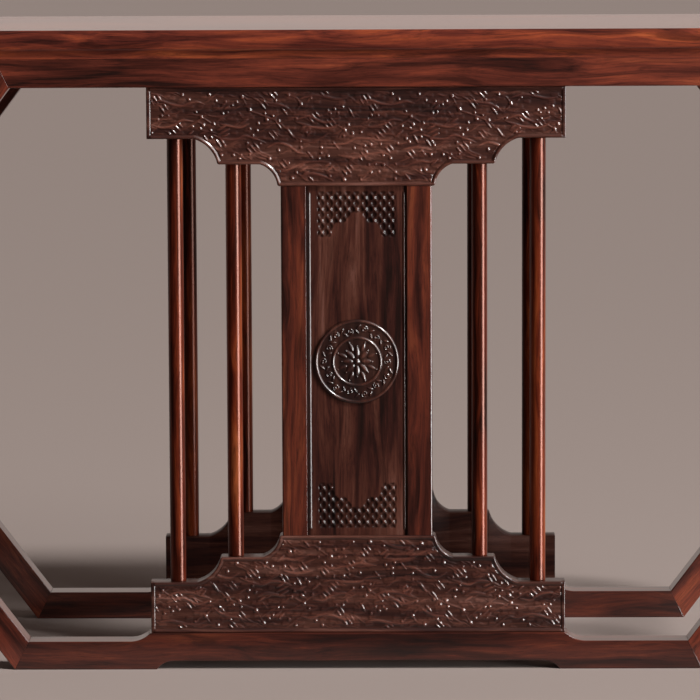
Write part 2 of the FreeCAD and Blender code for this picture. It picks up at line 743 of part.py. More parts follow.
# The ground of a carved panel lies lower than the rim that follows its outline
def sink_ground(body, outline, label, rear):
    doc.recompute()
    inset = doc.addObject("Part::Offset2D", f"{label}_inset")
    inset.Source = outline
    inset.setExpression("Value", "-sizes.rim_width")
    inset.Join = 2
    cutter = doc.addObject("Part::Extrusion", f"{label}_cutter")
    cutter.Base = inset
    cutter.DirMode = "Custom"
    cutter.Dir = FreeCAD.Vector(0, -1, 0)
    cutter.Solid = True
    cutter.setExpression("LengthFwd", "sizes.rim_height")
    cutter.setExpression("Placement.Base.y", f"-({carved_face} - sizes.rim_height)")
    panel = doc.addObject("Part::Cut", label)
    panel.Label = label
    panel.Base = body
    panel.Tool = cutter
    angle = 180 if rear else 0
    panel.Placement = FreeCAD.Placement(FreeCAD.Vector(), FreeCAD.Rotation(FreeCAD.Vector(0, 0, 1), angle))
    panel.setExpression("Placement.Base.y", frame_offset if rear else f"-{frame_offset}")
    return panel


# A round column with a square tenon at each end
def make_column(label, row, x, drop):
    body = new_body(label, y=f"{row} * {frame_offset}")
    body.setExpression("Placement.Base.x", x)
    foot = f"({carved_seat} + {drop})"
    head = f"({rail_underside} - {drop})"
    section = new_sketch(body, "XY_Plane", foot)
    radius = number("sizes.column_diameter / 2")
    section.addGeometry(Part.Circle(FreeCAD.Vector(), FreeCAD.Vector(0, 0, 1), radius))
    section.addConstraint(Sketcher.Constraint("Coincident", 0, 3, -1, 1))
    bind(section, Sketcher.Constraint("Radius", 0, radius), "sizes.column_diameter / 2")
    extrude(body, section, "Pad", f"{head} - {foot}")
    half = "sizes.column_tenon / 2"
    for low in (f"{foot} - sizes.column_tenon_length", head):
        square_feature(
            body,
            "Pad",
            (f"-{half}", f"-{half}", low),
            (half, half, f"{low} + sizes.column_tenon_length"),
        )
    return body


# A stile beside the centre panel, with rounded front edges, a groove and a tenon at each end
def make_stile(label, rear, side):
    body = frame_body(label, rear)
    section = new_sketch(body, "XY_Plane", stile_foot)
    face = "sizes.stile_depth / 2"
    corner = f"(sizes.stile_round * {quarter_arc})"
    bend = "+" if side < 0 else "-"
    draw_outline(
        section,
        [
            (sided(side, stile_inner), face),
            (sided(side, stile_inner), f"-({face} - sizes.stile_round)", (bend, corner)),
            (sided(side, f"{stile_inner} + sizes.stile_round"), f"-({face})"),
            (sided(side, "sizes.stile_outer - sizes.stile_round"), f"-({face})", (bend, corner)),
            (sided(side, "sizes.stile_outer"), f"-({face} - sizes.stile_round)"),
            (sided(side, "sizes.stile_outer"), face),
        ],
    )
    extrude(body, section, "Pad", f"{stile_head} - {stile_foot}")
    groove_bottom = f"{stile_inner} + sizes.centre_tongue_depth + {gap}"
    groove = sorted([sided(side, f"{stile_inner} - {past_face}"), sided(side, groove_bottom)], key=number)
    square_feature(
        body,
        "Pocket",
        (groove[0], f"{panel_shift} - sizes.centre_tongue / 2 - {gap}", f"{stile_foot} - {past_face}"),
        (groove[1], f"{panel_shift} + sizes.centre_tongue / 2 + {gap}", f"{stile_head} + {past_face}"),
    )
    near = f"{stile_inner} + sizes.stile_shoulder"
    far = "sizes.stile_outer - sizes.stile_shoulder"
    ends = sorted([sided(side, near), sided(side, far)], key=number)
    for low in (f"{stile_foot} - sizes.stile_tenon_length", stile_head):
        square_feature(
            body,
            "Pad",
            (ends[0], "-sizes.stile_tenon / 2", low),
            (ends[1], "sizes.stile_tenon / 2", f"{low} + sizes.stile_tenon_length"),
        )
    return body


# The centre panel: tongues in the stiles and carved panels, a bead along each side, a seat for the roundel
def make_centre_panel(label, rear):
    body = frame_body(label, rear)
    section = new_sketch(body, "XY_Plane", f"{stile_foot} + {gap}")
    face = "(-sizes.stile_depth / 2 + sizes.centre_setback)"
    back = f"({face} + sizes.centre_board)"
    tongue_front = f"({panel_shift} - sizes.centre_tongue / 2)"
    tongue_back = f"({panel_shift} + sizes.centre_tongue / 2)"
    edge = f"({stile_inner} - {gap})"
    tip = f"({stile_inner} + sizes.centre_tongue_depth)"
    bead_outer = f"({stile_inner} - sizes.bead_gap)"
    bead_inner = f"({stile_inner} - sizes.bead_gap - sizes.bead_width)"
    draw_outline(
        section,
        [
            (edge, face),
            (bead_outer, face, ("-", "sizes.bead_height")),
            (bead_inner, face),
            (f"-{bead_inner}", face, ("-", "sizes.bead_height")),
            (f"-{bead_outer}", face),
            (f"-{edge}", face),
            (f"-{edge}", tongue_front),
            (f"-{tip}", tongue_front),
            (f"-{tip}", tongue_back),
            (f"-{edge}", tongue_back),
            (f"-{edge}", back),
            (edge, back),
            (edge, tongue_back),
            (tip, tongue_back),
            (tip, tongue_front),
            (edge, tongue_front),
        ],
    )
    extrude(body, section, "Pad", f"{stile_head} - {stile_foot} - 2 * {gap}")
    for low in (f"{stile_foot} - sizes.centre_tongue_depth + {gap}", f"{stile_head} - {gap}"):
        square_feature(
            body,
            "Pad",
            (f"-({edge} - {gap})", tongue_front, low),
            (f"{edge} - {gap}", tongue_back, f"{low} + sizes.centre_tongue_depth"),
        )
    seat = new_sketch(body, "XZ_Plane", f"-({face} + sizes.roundel_seat)")
    seat_radius = f"(sizes.roundel_radius + {gap})"
    middle = FreeCAD.Vector(0, number(roundel_height), 0)
    seat.addGeometry(Part.Circle(middle, FreeCAD.Vector(0, 0, 1), number(seat_radius)))
    seat.addConstraint(Sketcher.Constraint("PointOnObject", 0, 3, -2))
    bind(seat, Sketcher.Constraint("DistanceY", 0, 3, middle.y), roundel_height)
    bind(seat, Sketcher.Constraint("Radius", 0, number(seat_radius)), seat_radius)
    pocket = extrude(body, seat, "Pocket", None, through=True)
    pocket.Reversed = True
    return body


# The roundel let into the centre panel, turned with an outer and an inner ring
def make_roundel(label, rear):
    face = "(sizes.stile_depth / 2 - sizes.centre_setback)"
    y = f"{frame_offset} + {face}" if rear else f"-({frame_offset} + {face})"
    body = new_body(label, y=y, z=roundel_height, turned=rear)
    profile = new_sketch(body, "XY_Plane")
    back = "sizes.roundel_seat"
    ground = "(sizes.roundel_seat - sizes.roundel_board)"
    ring_top = f"({ground} - sizes.ring_height)"
    corners = [("0", back), ("sizes.roundel_radius", back)]
    for outer in ("sizes.roundel_radius", "sizes.roundel_inner"):
        inner = f"{outer} - sizes.roundel_ring"
        corners.append((outer, ground))
        corners.append((f"{outer} - sizes.ring_bevel", ring_top))
        corners.append((f"{inner} + sizes.ring_bevel", ring_top))
        corners.append((inner, ground))
    corners.append(("0", ground))
    draw_outline(profile, corners)
    turned = body.newObject("PartDesign::Revolution", f"{label}_turned")
    turned.Profile = profile
    turned.ReferenceAxis = (profile, ["V_Axis"])
    turned.Angle = 360
    return body


# A cross rail from frame to frame, with a tenon at each end
def make_tie(label, middle, angle):
    body = new_body(label)
    section = new_sketch(body, "XZ_Plane")
    draw_outline(
        section,
        turned_block(middle, angle, "-sizes.tie_width / 2", "sizes.tie_width / 2", "sizes.tie_height"),
    )
    extrude(body, section, "Pad", f"2 * {tie_half}", centred=True)
    tenon = new_sketch(body, "XZ_Plane")
    half = "(sizes.tie_width / 2 - sizes.tie_shoulder)"
    draw_outline(tenon, turned_block(middle, angle, f"-{half}", half, "sizes.tie_tenon"))
    extrude(body, tenon, "Pad", f"2 * ({tie_half} + sizes.member / 2 - {gap})", centred=True)
    return body


pieces = [
    make_long_rail("top_front_rail", 0),
    make_long_rail("top_rear_rail", 180),
    make_top_rail("top_right_end", half_length, half_depth, 90, tenoned=False),
    make_top_rail("top_left_end", half_length, half_depth, 270, tenoned=False),
    make_top_panel(),
    make_keys(),
]
for count, x in enumerate(batten_places, start=1):
    pieces.append(make_batten(f"top_batten_{count}", x))

for row, name in ((-1, "front"), (1, "rear")):
    rear = row > 0
    pieces.append(make_frame_top_rail(f"{name}_frame_top_rail", rear))
    pieces.append(make_frame_bottom_rail(f"{name}_frame_bottom_rail", rear))
    for side in (-1, 1):
        hand = "left" if side * row > 0 else "right"
        pieces.append(make_upper_diagonal(f"{name}_upper_{hand}_diagonal", rear, side))
        pieces.append(make_lower_diagonal(f"{name}_lower_{hand}_diagonal", rear, side))
        pieces.append(make_stile(f"{name}_{hand}_stile", rear, side))
    pieces.append(make_carved_panel(f"{name}_upper_carved_panel", rear, upper=True))
    pieces.append(make_carved_panel(f"{name}_lower_carved_panel", rear, upper=False))
    for side, hand in ((-1, "left"), (1, "right")):
        outer = sided(side, "sizes.column_outer")
        inner = sided(side, "sizes.column_inner")
        pieces.append(make_column(f"{name}_outer_{hand}_column", row, outer, "sizes.outer_drop"))
        pieces.append(make_column(f"{name}_inner_{hand}_column", row, inner, "sizes.middle_drop"))
    pieces.append(make_centre_panel(f"{name}_centre_panel", rear))
    pieces.append(make_roundel(f"{name}_roundel", rear))

for side, hand in ((-1, "left"), (1, "right")):
    for name, (x, z), angle in (
        ("top", top_tie, "0deg"),
        ("base", base_tie, "0deg"),
        ("side", side_tie, side_tie_angle(side)),
    ):
        pieces.append(make_tie(f"{name}_{hand}_cross_rail", (sided(side, x), z), angle))

doc.recompute()

failed = [found.Name for found in doc.Objects if "Invalid" in found.State or "Error" in found.State]
if failed:
    raise RuntimeError(f"these objects failed: {failed}")
for piece in pieces:
    if piece.Shape.isNull() or not piece.Shape.isValid():
        raise RuntimeError(f"{piece.Label} has no valid shape")

os.makedirs("parts", exist_ok=True)
for piece in pieces:
    piece.Shape.exportStep(f"parts/{piece.Label}.step")
    print(piece.Label, len(piece.Shape.Solids), round(piece.Shape.Volume / 1000, 1), "cm3")
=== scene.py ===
import math

import bpy
import numpy as np
from mathutils import Matrix


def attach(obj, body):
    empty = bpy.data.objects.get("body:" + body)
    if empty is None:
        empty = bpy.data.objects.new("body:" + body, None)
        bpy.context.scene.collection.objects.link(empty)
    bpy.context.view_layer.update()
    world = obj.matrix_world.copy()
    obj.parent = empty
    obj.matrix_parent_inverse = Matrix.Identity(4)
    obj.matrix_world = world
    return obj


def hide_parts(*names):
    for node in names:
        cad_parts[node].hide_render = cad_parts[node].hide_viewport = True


# A long altar table of polished rosewood. Its moulded top lies on two six-sided frames, one behind the
# other. Each frame holds a stepped carved panel above and below, four round columns and a centre panel
# with a roundel. The dictionaries give sizes in millimetres, and makePiece turns them into metres.

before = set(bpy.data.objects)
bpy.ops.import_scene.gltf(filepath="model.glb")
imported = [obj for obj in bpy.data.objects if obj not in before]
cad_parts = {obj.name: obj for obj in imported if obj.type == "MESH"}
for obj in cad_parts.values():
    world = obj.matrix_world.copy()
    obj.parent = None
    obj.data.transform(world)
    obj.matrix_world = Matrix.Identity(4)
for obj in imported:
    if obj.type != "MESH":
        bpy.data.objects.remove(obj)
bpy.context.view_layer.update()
mm = 0.001
print("frame loaded:", len(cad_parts), "nodes")


# Each row of an array, scaled to length 1
def unit(vectors):
    return vectors / np.linalg.norm(vectors, axis=-1, keepdims=True)


# Values from the middle of a piece outwards, with the same ones below zero put before them
def bothSides(half):
    return np.concatenate([-half[:0:-1], half])


# The quads of a grid of points, where a closed grid also joins its last column to its first
def gridQuads(rows, columns, closed=False):
    index = np.arange(rows * columns).reshape(rows, columns)
    if closed:
        index = np.hstack([index, index[:, :1]])
    corners = [index[:-1, :-1], index[:-1, 1:], index[1:, 1:], index[1:, :-1]]
    return np.stack(corners, axis=-1).reshape(-1, 4)


# A tube of closed rings, each a row of the same number of points, with a flat cap over both ends
def ringTube(rings):
    rows, count = rings.shape[:2]
    caps = [np.arange(count)[::-1], np.arange(count) + (rows - 1) * count]
    return rings.reshape(-1, 3), gridQuads(rows, count, closed=True), caps


# Points on an arc that stands up by rise over the middle of its chord, to the left of the way.
# radius = chord^2 / (8 rise) + rise / 2, and the points turn evenly about the centre.
def arcBetween(start, finish, rise, steps):
    start, finish = np.array(start, float), np.array(finish, float)
    along = unit(finish - start)
    left = np.array([-along[1], along[0]]) * math.copysign(1, rise)
    halfChord = np.linalg.norm(finish - start) / 2
    radius = halfChord**2 / (2 * abs(rise)) + abs(rise) / 2
    half = math.asin(halfChord / radius)
    turn = np.linspace(-half, half, steps + 1)[:, None]
    over = radius * (np.cos(turn) - math.cos(half))
    return (start + finish) / 2 + along * radius * np.sin(turn) + left * over


joint = {
    "ease": 0.35,  # how far a bar's end is drawn in, so that a joint shows as a fine line
    "hold": 0.8,  # how far beside a rounding or an end a further point keeps the smooth shading flat
}


# A closed section whose corners (a, b, radius) are rounded: the arc's centre lies on the corner's bisector
# at radius / sin(half the angle), and its points turn evenly from one touching side to the other
def roundedSection(corners, steps=4):
    spots = np.array([corner[:2] for corner in corners], float)
    back = unit(np.roll(spots, 1, axis=0) - spots)
    ahead = unit(np.roll(spots, -1, axis=0) - spots)
    share = np.linspace(0, 1, steps + 1)[:, None]
    pieces = []
    for spot, before, after, corner in zip(spots, back, ahead, corners):
        radius = corner[2]
        if radius == 0:
            pieces.append(spot[None])
            continue
        half = math.acos(np.clip(before @ after, -1, 1)) / 2
        touch = radius / math.tan(half)
        centre = spot + unit(before + after) * radius / math.sin(half)
        first = (spot + before * touch - centre) / radius
        last = (spot + after * touch - centre) / radius
        turn = math.acos(np.clip(first @ last, -1, 1))
        arc = np.sin((1 - share) * turn) * first + np.sin(share * turn) * last
        pieces.append(spot + before * (touch + joint["hold"]))
        pieces.append(centre + arc * radius / math.sin(turn))
        pieces.append(spot + after * (touch + joint["hold"]))
    return np.vstack(pieces)


# A bar between two rings of equal points: point = start + share * (finish - start). Its last rings are
# drawn in towards their middles by the ease.
def ruledBar(start, finish, ease=joint["ease"]):
    length = np.linalg.norm(finish.mean(axis=0) - start.mean(axis=0))
    near, held = ease / length, (ease + joint["hold"]) / length
    share = np.array([0, near, held, 1 - held, 1 - near, 1])[:, None, None]
    drawn = np.array([ease, 0, 0, 0, 0, ease])[:, None, None]
    rings = start + share * (finish - start)
    return ringTube(rings + drawn * unit(rings.mean(axis=1, keepdims=True) - rings))


# The piece that stands for a node, such as frontLeftStile for front_left_stile. The points are in mm.
# The signed volume, a sum over triangles of corner . (next x last) / 6, says whether the faces point out.
def makePiece(node, material, shape, sharpAngle=35, carved=None):
    points, quads, caps = shape
    points = points * mm
    fans = [np.stack([np.full(len(cap) - 2, cap[0]), cap[1:-1], cap[2:]], axis=1) for cap in caps]
    corners = points[np.vstack([quads[:, [0, 1, 2]], quads[:, [0, 2, 3]], *fans])]
    volume = np.einsum("ij,ij->", corners[:, 0], np.cross(corners[:, 1], corners[:, 2])) / 6
    faces = quads.tolist() + [cap.tolist() for cap in caps]
    if volume < 0:
        faces = [face[::-1] for face in faces]
    first, *rest = node.split("_")
    mesh = bpy.data.meshes.new(first + "".join(word.capitalize() for word in rest))
    mesh.from_pydata(points.tolist(), [], faces)
    mesh.polygons.foreach_set("use_smooth", np.ones(len(faces), bool))
    mesh.set_sharp_from_angle(angle=math.radians(sharpAngle))
    if carved is not None:
        mesh.attributes.new("carvedHeight", "FLOAT", "POINT").data.foreach_set("value", carved.ravel())
    mesh.materials.append(material)
    piece = bpy.data.objects.new(mesh.name, mesh)
    bpy.context.scene.collection.objects.link(piece)
    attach(piece, "root")
    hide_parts(node)


# A shape with its points scaled. A factor of -1 mirrors it.
def scaled(shape, factors):
    points, quads, caps = shape
    return points * factors, quads, caps


# The rear frame is the front one turned about by half a turn, so x and y change sign
def turnAbout(shape, row):
    return shape if row == "front" else scaled(shape, (-1, -1, 1))


# Which hand a side has in a frame: left is the side of -X in both, and the turn swaps the rear one's sides
def handOf(side, row):
    return "left" if (side < 0) == (row == "front") else "right"


# Linear colour from an sRGB hex value
def hexColour(code):
    parts = [int(code[place : place + 2], 16) / 255 for place in (1, 3, 5)]
    return [*(c / 12.92 if c <= 0.04045 else ((c + 0.055) / 1.055) ** 2.4 for c in parts), 1]


# Adds a node of a kind, such as Mix for ShaderNodeMix, with its settings and its inputs. An input is a
# value or another node's output to link, and a colour ramp's stops are pairs of a position and a hex colour.
def addNode(tree, kind, settings=None, inputs=None):
    node = tree.nodes.new("ShaderNode" + kind)
    for name, value in (settings or {}).items():
        if name == "stops":
            ramp = node.color_ramp
            while len(ramp.elements) < len(value):
                ramp.elements.new(1)
            for element, (position, code) in zip(ramp.elements, value):
                element.position = position
                element.color = hexColour(code)
        else:
            setattr(node, name, value)
    for name, value in (inputs or {}).items():
        if isinstance(value, bpy.types.NodeSocket):
            tree.links.new(value, node.inputs[name])
        else:
            node.inputs[name].default_value = value
    return node


# Which way the grain runs: the turn that lays the X axis along a member
slope = math.radians(53)
grainTurns = {
    "along": (0, 0, 0),
    "across": (0, 0, math.pi / 2),
    "upright": (0, -math.pi / 2, 0),
    "leaningRight": (0, -slope, 0),
    "leaningLeft": (0, slope, 0),
}

grain = {  # size in metres, detail and distortion of each pattern
    "streak": ((0.36, 0.014, 0.019), 5, 0.5),  # bands of heartwood
    "line": ((0.15, 0.0024, 0.0024), 5, 0),  # the lines between
    "figure": ((0.62, 0.006, 0.02), 5, 0.5),  # dark veins
    "pore": ((0.016, 0.0011, 0.0011), 2, 0),  # pores are 0.2 mm wide, drawn coarser so that they show
    "cast": ((0.5, 0.16, 0.16), 2, 0),  # slow changes of colour
}
waver = {"size": (0.22, 0.05, 0.05), "shift": (0.028, 0.028, 0.028)}  # in metres
realSize = {"vector_type": "TEXTURE"}  # a Mapping node of this type gives a pattern its size in metres
multiplyAdd = {"operation": "MULTIPLY_ADD"}
multiplyColours = {"data_type": "RGBA", "blend_type": "MULTIPLY"}


# Rosewood as it comes from the plane: bands of heartwood, fine lines, dark veins and open pores, all long
# in the grain, which wavers by a few mm. The veins darken it by their share, and the tone darkens it all.
# Gives back the colour and a height for the bump.
def rosewoodGrain(tree, lie, place, stops, veins, tone=1):
    laid = {"Location": place, "Rotation": grainTurns[lie]}
    straight = addNode(tree, "TexCoord").outputs["Object"]
    wavering = addNode(tree, "Mapping", realSize, laid | {"Vector": straight, "Scale": waver["size"]})
    drift = addNode(tree, "TexNoise", inputs={"Vector": wavering.outputs[0], "Scale": 1, "Detail": 1})
    drifted = {0: drift.outputs["Color"], 1: waver["shift"], 2: straight}
    spot = addNode(tree, "VectorMath", multiplyAdd, drifted).outputs["Vector"]
    found = {}
    for name, (size, detail, distortion) in grain.items():
        mapped = addNode(tree, "Mapping", realSize, laid | {"Vector": spot, "Scale": size})
        noise = {"Scale": 1, "Detail": detail, "Roughness": 0.6, "Distortion": distortion}
        noise["Vector"] = mapped.outputs["Vector"]
        found[name] = addNode(tree, "TexNoise", inputs=noise).outputs["Fac"]
    lined = {0: found["line"], 1: 0.32, 2: found["streak"]}  # the lines count a third as much as the bands
    bands = addNode(tree, "Math", multiplyAdd, lined).outputs[0]
    cast = addNode(tree, "Math", multiplyAdd, {0: found["cast"], 1: 0.5, 2: bands}).outputs[0]
    share = addNode(tree, "MapRange", inputs={"Value": cast, "From Min": 0.7, "From Max": 1.12})
    wood = addNode(tree, "ValToRGB", {"stops": stops}, {"Fac": share.outputs[0]}).outputs["Color"]
    # The dark veins and the pores show where their noise is high
    veined = {"From Min": 0.53, "From Max": 0.64, "To Min": tone, "To Max": tone * (1 - veins)}
    vein = addNode(tree, "MapRange", inputs=veined | {"Value": found["figure"]}).outputs[0]
    porous = {"From Min": 0.56, "From Max": 0.7, "To Min": 1, "To Max": 0.55}
    pore = addNode(tree, "MapRange", inputs=porous | {"Value": found["pore"]}).outputs[0]
    dark = addNode(tree, "Math", {"operation": "MULTIPLY"}, {0: vein, 1: pore}).outputs[0]
    colour = addNode(tree, "Mix", multiplyColours, {0: 1, 6: wood, 7: dark}).outputs[2]
    height = addNode(tree, "Math", multiplyAdd, {0: found["line"], 1: 0.4, 2: pore}).outputs[0]
    return colour, height


# Starts a material with an empty tree, a surface shader and its output
def newSurface(name, settings):
    material = bpy.data.materials.new(name)
    material.use_nodes = True
    tree = material.node_tree
    tree.nodes.clear()
    surface = addNode(tree, "BsdfPrincipled", inputs=settings)
    addNode(tree, "OutputMaterial", inputs={"Surface": surface.outputs["BSDF"]})
    return material, tree, surface


# Links a colour and a bump to a surface shader
def dress(tree, surface, colour, height, depth):
    tree.links.new(colour, surface.inputs["Base Color"])
    bump = addNode(tree, "Bump", inputs={"Strength": 0.6, "Distance": depth, "Height": height})
    for name in ("Normal", "Coat Normal"):
        tree.links.new(bump.outputs["Normal"], surface.inputs[name])


gloss = {
    "IOR": 1.45,
    "Specular IOR Level": 0.3,  # the thin lacquer does most of the shining
    "Coat IOR": 1.5,
}
# Painted shade under the nose: below these heights the colour and the coat are scaled down to the least
# share
paintedCoveShade = {"From Min": 1.0265, "From Max": 1.0305, "To Min": 0.7}  # heights in metres, and the least share


# Heartwood of rosewood, planed, scraped and lacquered thin: orange-red bands between dark ones, and a gloss
# that follows the pores. From the cove below the nose downwards the colour is darkened as painted shade, and
# the coat is thinned there to the same share.
def lacqueredRosewood(lie, place):
    finish = {"Roughness": 0.34, "Coat Weight": 1, "Coat Roughness": 0.13}
    material, tree, surface = newSurface(f"lacqueredRosewood_{lie}", gloss | finish)
    stops = [(0, "#32120d"), (0.25, "#501f16"), (0.5, "#6c2e1e"), (0.75, "#843b22"), (1, "#9f4f2b")]
    colour, height = rosewoodGrain(tree, lie, place, stops, 0.45, 0.92)
    spot = addNode(tree, "TexCoord").outputs["Object"]
    axes = addNode(tree, "SeparateXYZ", inputs={"Vector": spot})
    hollow = addNode(tree, "MapRange", inputs=paintedCoveShade | {"Value": axes.outputs["Z"]}).outputs["Result"]
    # The colour darkened from the cove downwards is painted shade
    shadedInCove = addNode(tree, "Mix", multiplyColours, {0: 1, 6: colour, 7: hollow})
    tree.links.new(hollow, surface.inputs["Coat Weight"])
    dress(tree, surface, shadedInCove.outputs[2], height, 0.00008)
    return material


# The same wood of a darker log, for the frames and stiles: red-brown with nearly black veins
def darkRosewood(name, lie, place, tone):
    finish = {"Roughness": 0.36, "Coat Weight": 0.85, "Coat Roughness": 0.17}
    material, tree, surface = newSurface(f"darkRosewood_{name}", gloss | finish)
    stops = [(0, "#1e0a06"), (0.25, "#3a150d"), (0.5, "#522217"), (0.75, "#692d1d"), (1, "#803e26")]
    colour, height = rosewoodGrain(tree, lie, place, stops, 0.55, tone)
    dress(tree, surface, colour, height, 0.00008)
    return material


# Turned rosewood, stained and oiled in the lathe: a broad reddish gloss below a thin coat of lacquer
def turnedRosewood(name, place, tone, shine):
    finish = {
        "Roughness": 0.29,
        "IOR": 1.55,
        "Specular IOR Level": 0.38 * shine,
        "Specular Tint": hexColour("#f09c80"),
        "Coat Weight": 0.17 * shine,
        "Coat Roughness": 0.26,
    }
    material, tree, surface = newSurface(f"turnedRosewood_{name}", gloss | finish)
    stops = [(0, "#200b06"), (0.25, "#42160c"), (0.5, "#642414"), (0.75, "#84381c"), (1, "#a2522c")]
    colour, height = rosewoodGrain(tree, "upright", place, stops, 0.5, tone)
    dress(tree, surface, colour, height, 0.00006)
    return material


# Carved rosewood, waxed over the carving. Its colour follows the carved height: the hollows are darker and
# duller, as dark wax and as painted shade, and the high places lighter, as rubbed wear and as painted light,
# and bright where they were polished
def carvedRosewood(name, lie, place, tone, polish=1):
    finish = {"Roughness": 0.42, "Coat Roughness": 0.17, "Specular IOR Level": 0.3 * polish}
    material, tree, surface = newSurface(f"carvedRosewood_{name}", gloss | finish)
    stops = [(0, "#1e0e0a"), (0.25, "#341712"), (0.5, "#47241b"), (0.75, "#583227"), (1, "#694339")]
    colour, height = rosewoodGrain(tree, lie, place, stops, 0.3, tone)
    relief = addNode(tree, "Attribute", {"attribute_name": "carvedHeight"}).outputs["Fac"]
    # Darker in the hollows and lighter on the high places: wax and wear, and painted shade and painted light
    waxAndShadeRange = {"Value": relief, "From Max": 0.7, "To Min": 0.55, "To Max": 1.3}
    waxAndShade = addNode(tree, "MapRange", {"interpolation_type": "SMOOTHSTEP"}, waxAndShadeRange).outputs[0]
    shaded = addNode(tree, "Mix", multiplyColours, {0: 1, 6: colour, 7: waxAndShade})
    coated = {"Value": relief, "From Max": 0.5, "To Min": 0.35 * polish, "To Max": polish}
    rubbed = addNode(tree, "MapRange", inputs=coated)
    tree.links.new(rubbed.outputs["Result"], surface.inputs["Coat Weight"])
    dress(tree, surface, shaded.outputs[2], height, 0.00006)
    return material


# Planed rosewood without lacquer, for what lies under the top and between the frames: duller and browner
def planedRosewood():
    material, tree, surface = newSurface("planedRosewood", {"IOR": 1.45, "Roughness": 0.55})
    stops = [(0, "#2a120c"), (0.3, "#432017"), (0.6, "#5a2e20"), (0.82, "#6c3b29"), (1, "#7d4a35")]
    colour, height = rosewoodGrain(tree, "across", (0.3, 0.1, 0.2), stops, 0.4)
    dress(tree, surface, colour, height, 0.0001)
    return material


topAlong = lacqueredRosewood("along", (0.96, 0.05, 0.03))
topAcross = lacqueredRosewood("across", (0.4, 0.3, 0.02))
frameLies = ("along", "leaningRight", "leaningLeft")
frameWood = {lie: darkRosewood(lie, lie, (0.17, 0.11, 0.05), 0.92) for lie in frameLies}
footWood = darkRosewood("foot", "along", (0.29, 0.02, 0.04), 0.47)
stileWood = darkRosewood("stile", "upright", (0.06, 0.13, 0.22), 0.56)
# The rear columns take a darker and less glossy copy of the turned wood: painted shade
turnedWood = {
    "front": turnedRosewood("front", (0.13, 0.02, 0.4), 0.5, 1),
    "rear": turnedRosewood("rear", (0.3, 0.12, 0.1), 0.3, 0.35),
}
# The rear panels take darker and less glossy copies of the carved wood: painted shade
carvedLooks = {  # place in the log, tone and polish
    "frontUpper": ((0.05, 0.2, 0.11), 1.05, 1),
    "frontLower": ((0.4, 0.1, 0.31), 0.95, 1),
    "rearUpper": ((0.12, 0.3, 0.2), 0.6, 0.4),
    "rearLower": ((0.22, 0.4, 0.06), 0.5, 0.3),
}
carvedWood = {name: carvedRosewood(name, "along", *look) for name, look in carvedLooks.items()}
centreWood = carvedRosewood("centre", "upright", (0.33, 0.02, 0.06), 0.58, 0.5)
roundelWood = carvedRosewood("roundel", "upright", (0.11, 0.08, 0.19), 0.6)
innerWood = planedRosewood()
print("materials made:", len(bpy.data.materials))

topFrame = {
    "halfLength": 1060,
    "halfDepth": 263,
    "top": 1060,
    "underside": 1013,
    "railWidth": 84,
    "noseBottom": 1029,
    "noseBulge": 2.5,
    "coveStep": 2,
    "coveFoot": 8,  # nose to the lower edge of the cove
    "coveHollow": 2.5,
    "curveSteps": 8,
    "arris": 1.4,
    "backArrises": (1, 0.6),  # at the underside and at the top
}


# A rail of the top: the moulded section, in depth from the nose and height, is drawn between the two mitres
# of the plan, so a point at depth d runs from -(reach - d) to reach - d
def topRail(alongReach, acrossReach):
    top, underside = topFrame["top"], topFrame["underside"]
    bulge, noseBottom, arris = topFrame["noseBulge"], topFrame["noseBottom"], topFrame["arris"]
    steps = topFrame["curveSteps"]
    nose = arcBetween((bulge, top), (bulge, noseBottom), -bulge, steps)
    coveHead = (bulge + topFrame["coveStep"], noseBottom)
    cove = arcBetween(coveHead, (topFrame["coveFoot"], underside), topFrame["coveHollow"], steps)
    rounded = [(*nose[0], arris)]
    rounded += [(*spot, 0) for spot in nose[1:-1]]
    rounded += [(*nose[-1], arris / 2)]
    rounded += [(*spot, 0) for spot in cove]
    for level, rounding in zip((underside, top), topFrame["backArrises"]):
        rounded.append((topFrame["railWidth"], level, rounding))
    depth, height = roundedSection(rounded).T
    start = np.stack([depth - alongReach, depth - acrossReach, height], axis=1)
    return ruledBar(start, start * (-1, 1, 1))


longRail = topRail(topFrame["halfLength"], topFrame["halfDepth"])
endRail = topRail(topFrame["halfDepth"], topFrame["halfLength"])
quarterTurn = np.array([[0, 1, 0], [-1, 0, 0], [0, 0, 1]])
makePiece("top_front_rail", topAlong, longRail)
makePiece("top_rear_rail", topAlong, scaled(longRail, (-1, -1, 1)))
makePiece("top_right_end", topAcross, (endRail[0] @ quarterTurn, *endRail[1:]))
makePiece("top_left_end", topAcross, (endRail[0] @ quarterTurn.T, *endRail[1:]))

topBoard = {
    "halfLength": 975.5,
    "halfDepth": 178.5,
    "underside": 1044,
    "arris": 0.8,
    "battens": (-585.6, -195.2, 195.2, 585.6),
    "battenWidth": 34,
    "battenFoot": 1020,
    "battenReach": 179,
    "battenArris": 1.5,
}


# A rectangular section with equal roundings, around a middle
def rectangle(middle, width, height, radius):
    a, b = width / 2, height / 2
    corners = [(-a, -b), (a, -b), (a, b), (-a, b)]
    return roundedSection([(middle[0] + x, middle[1] + y, radius) for x, y in corners])


# A bar whose section stands in the plane across the table's length
def barAlongX(section, reach):
    start = np.insert(section, 0, -reach, axis=1)
    return ruledBar(start, start * (-1, 1, 1))


# A bar whose section stands in the plane across the table's depth
def barAlongY(section, reach):
    start = np.insert(section, 1, -reach, axis=1)
    return ruledBar(start, start * (1, -1, 1))


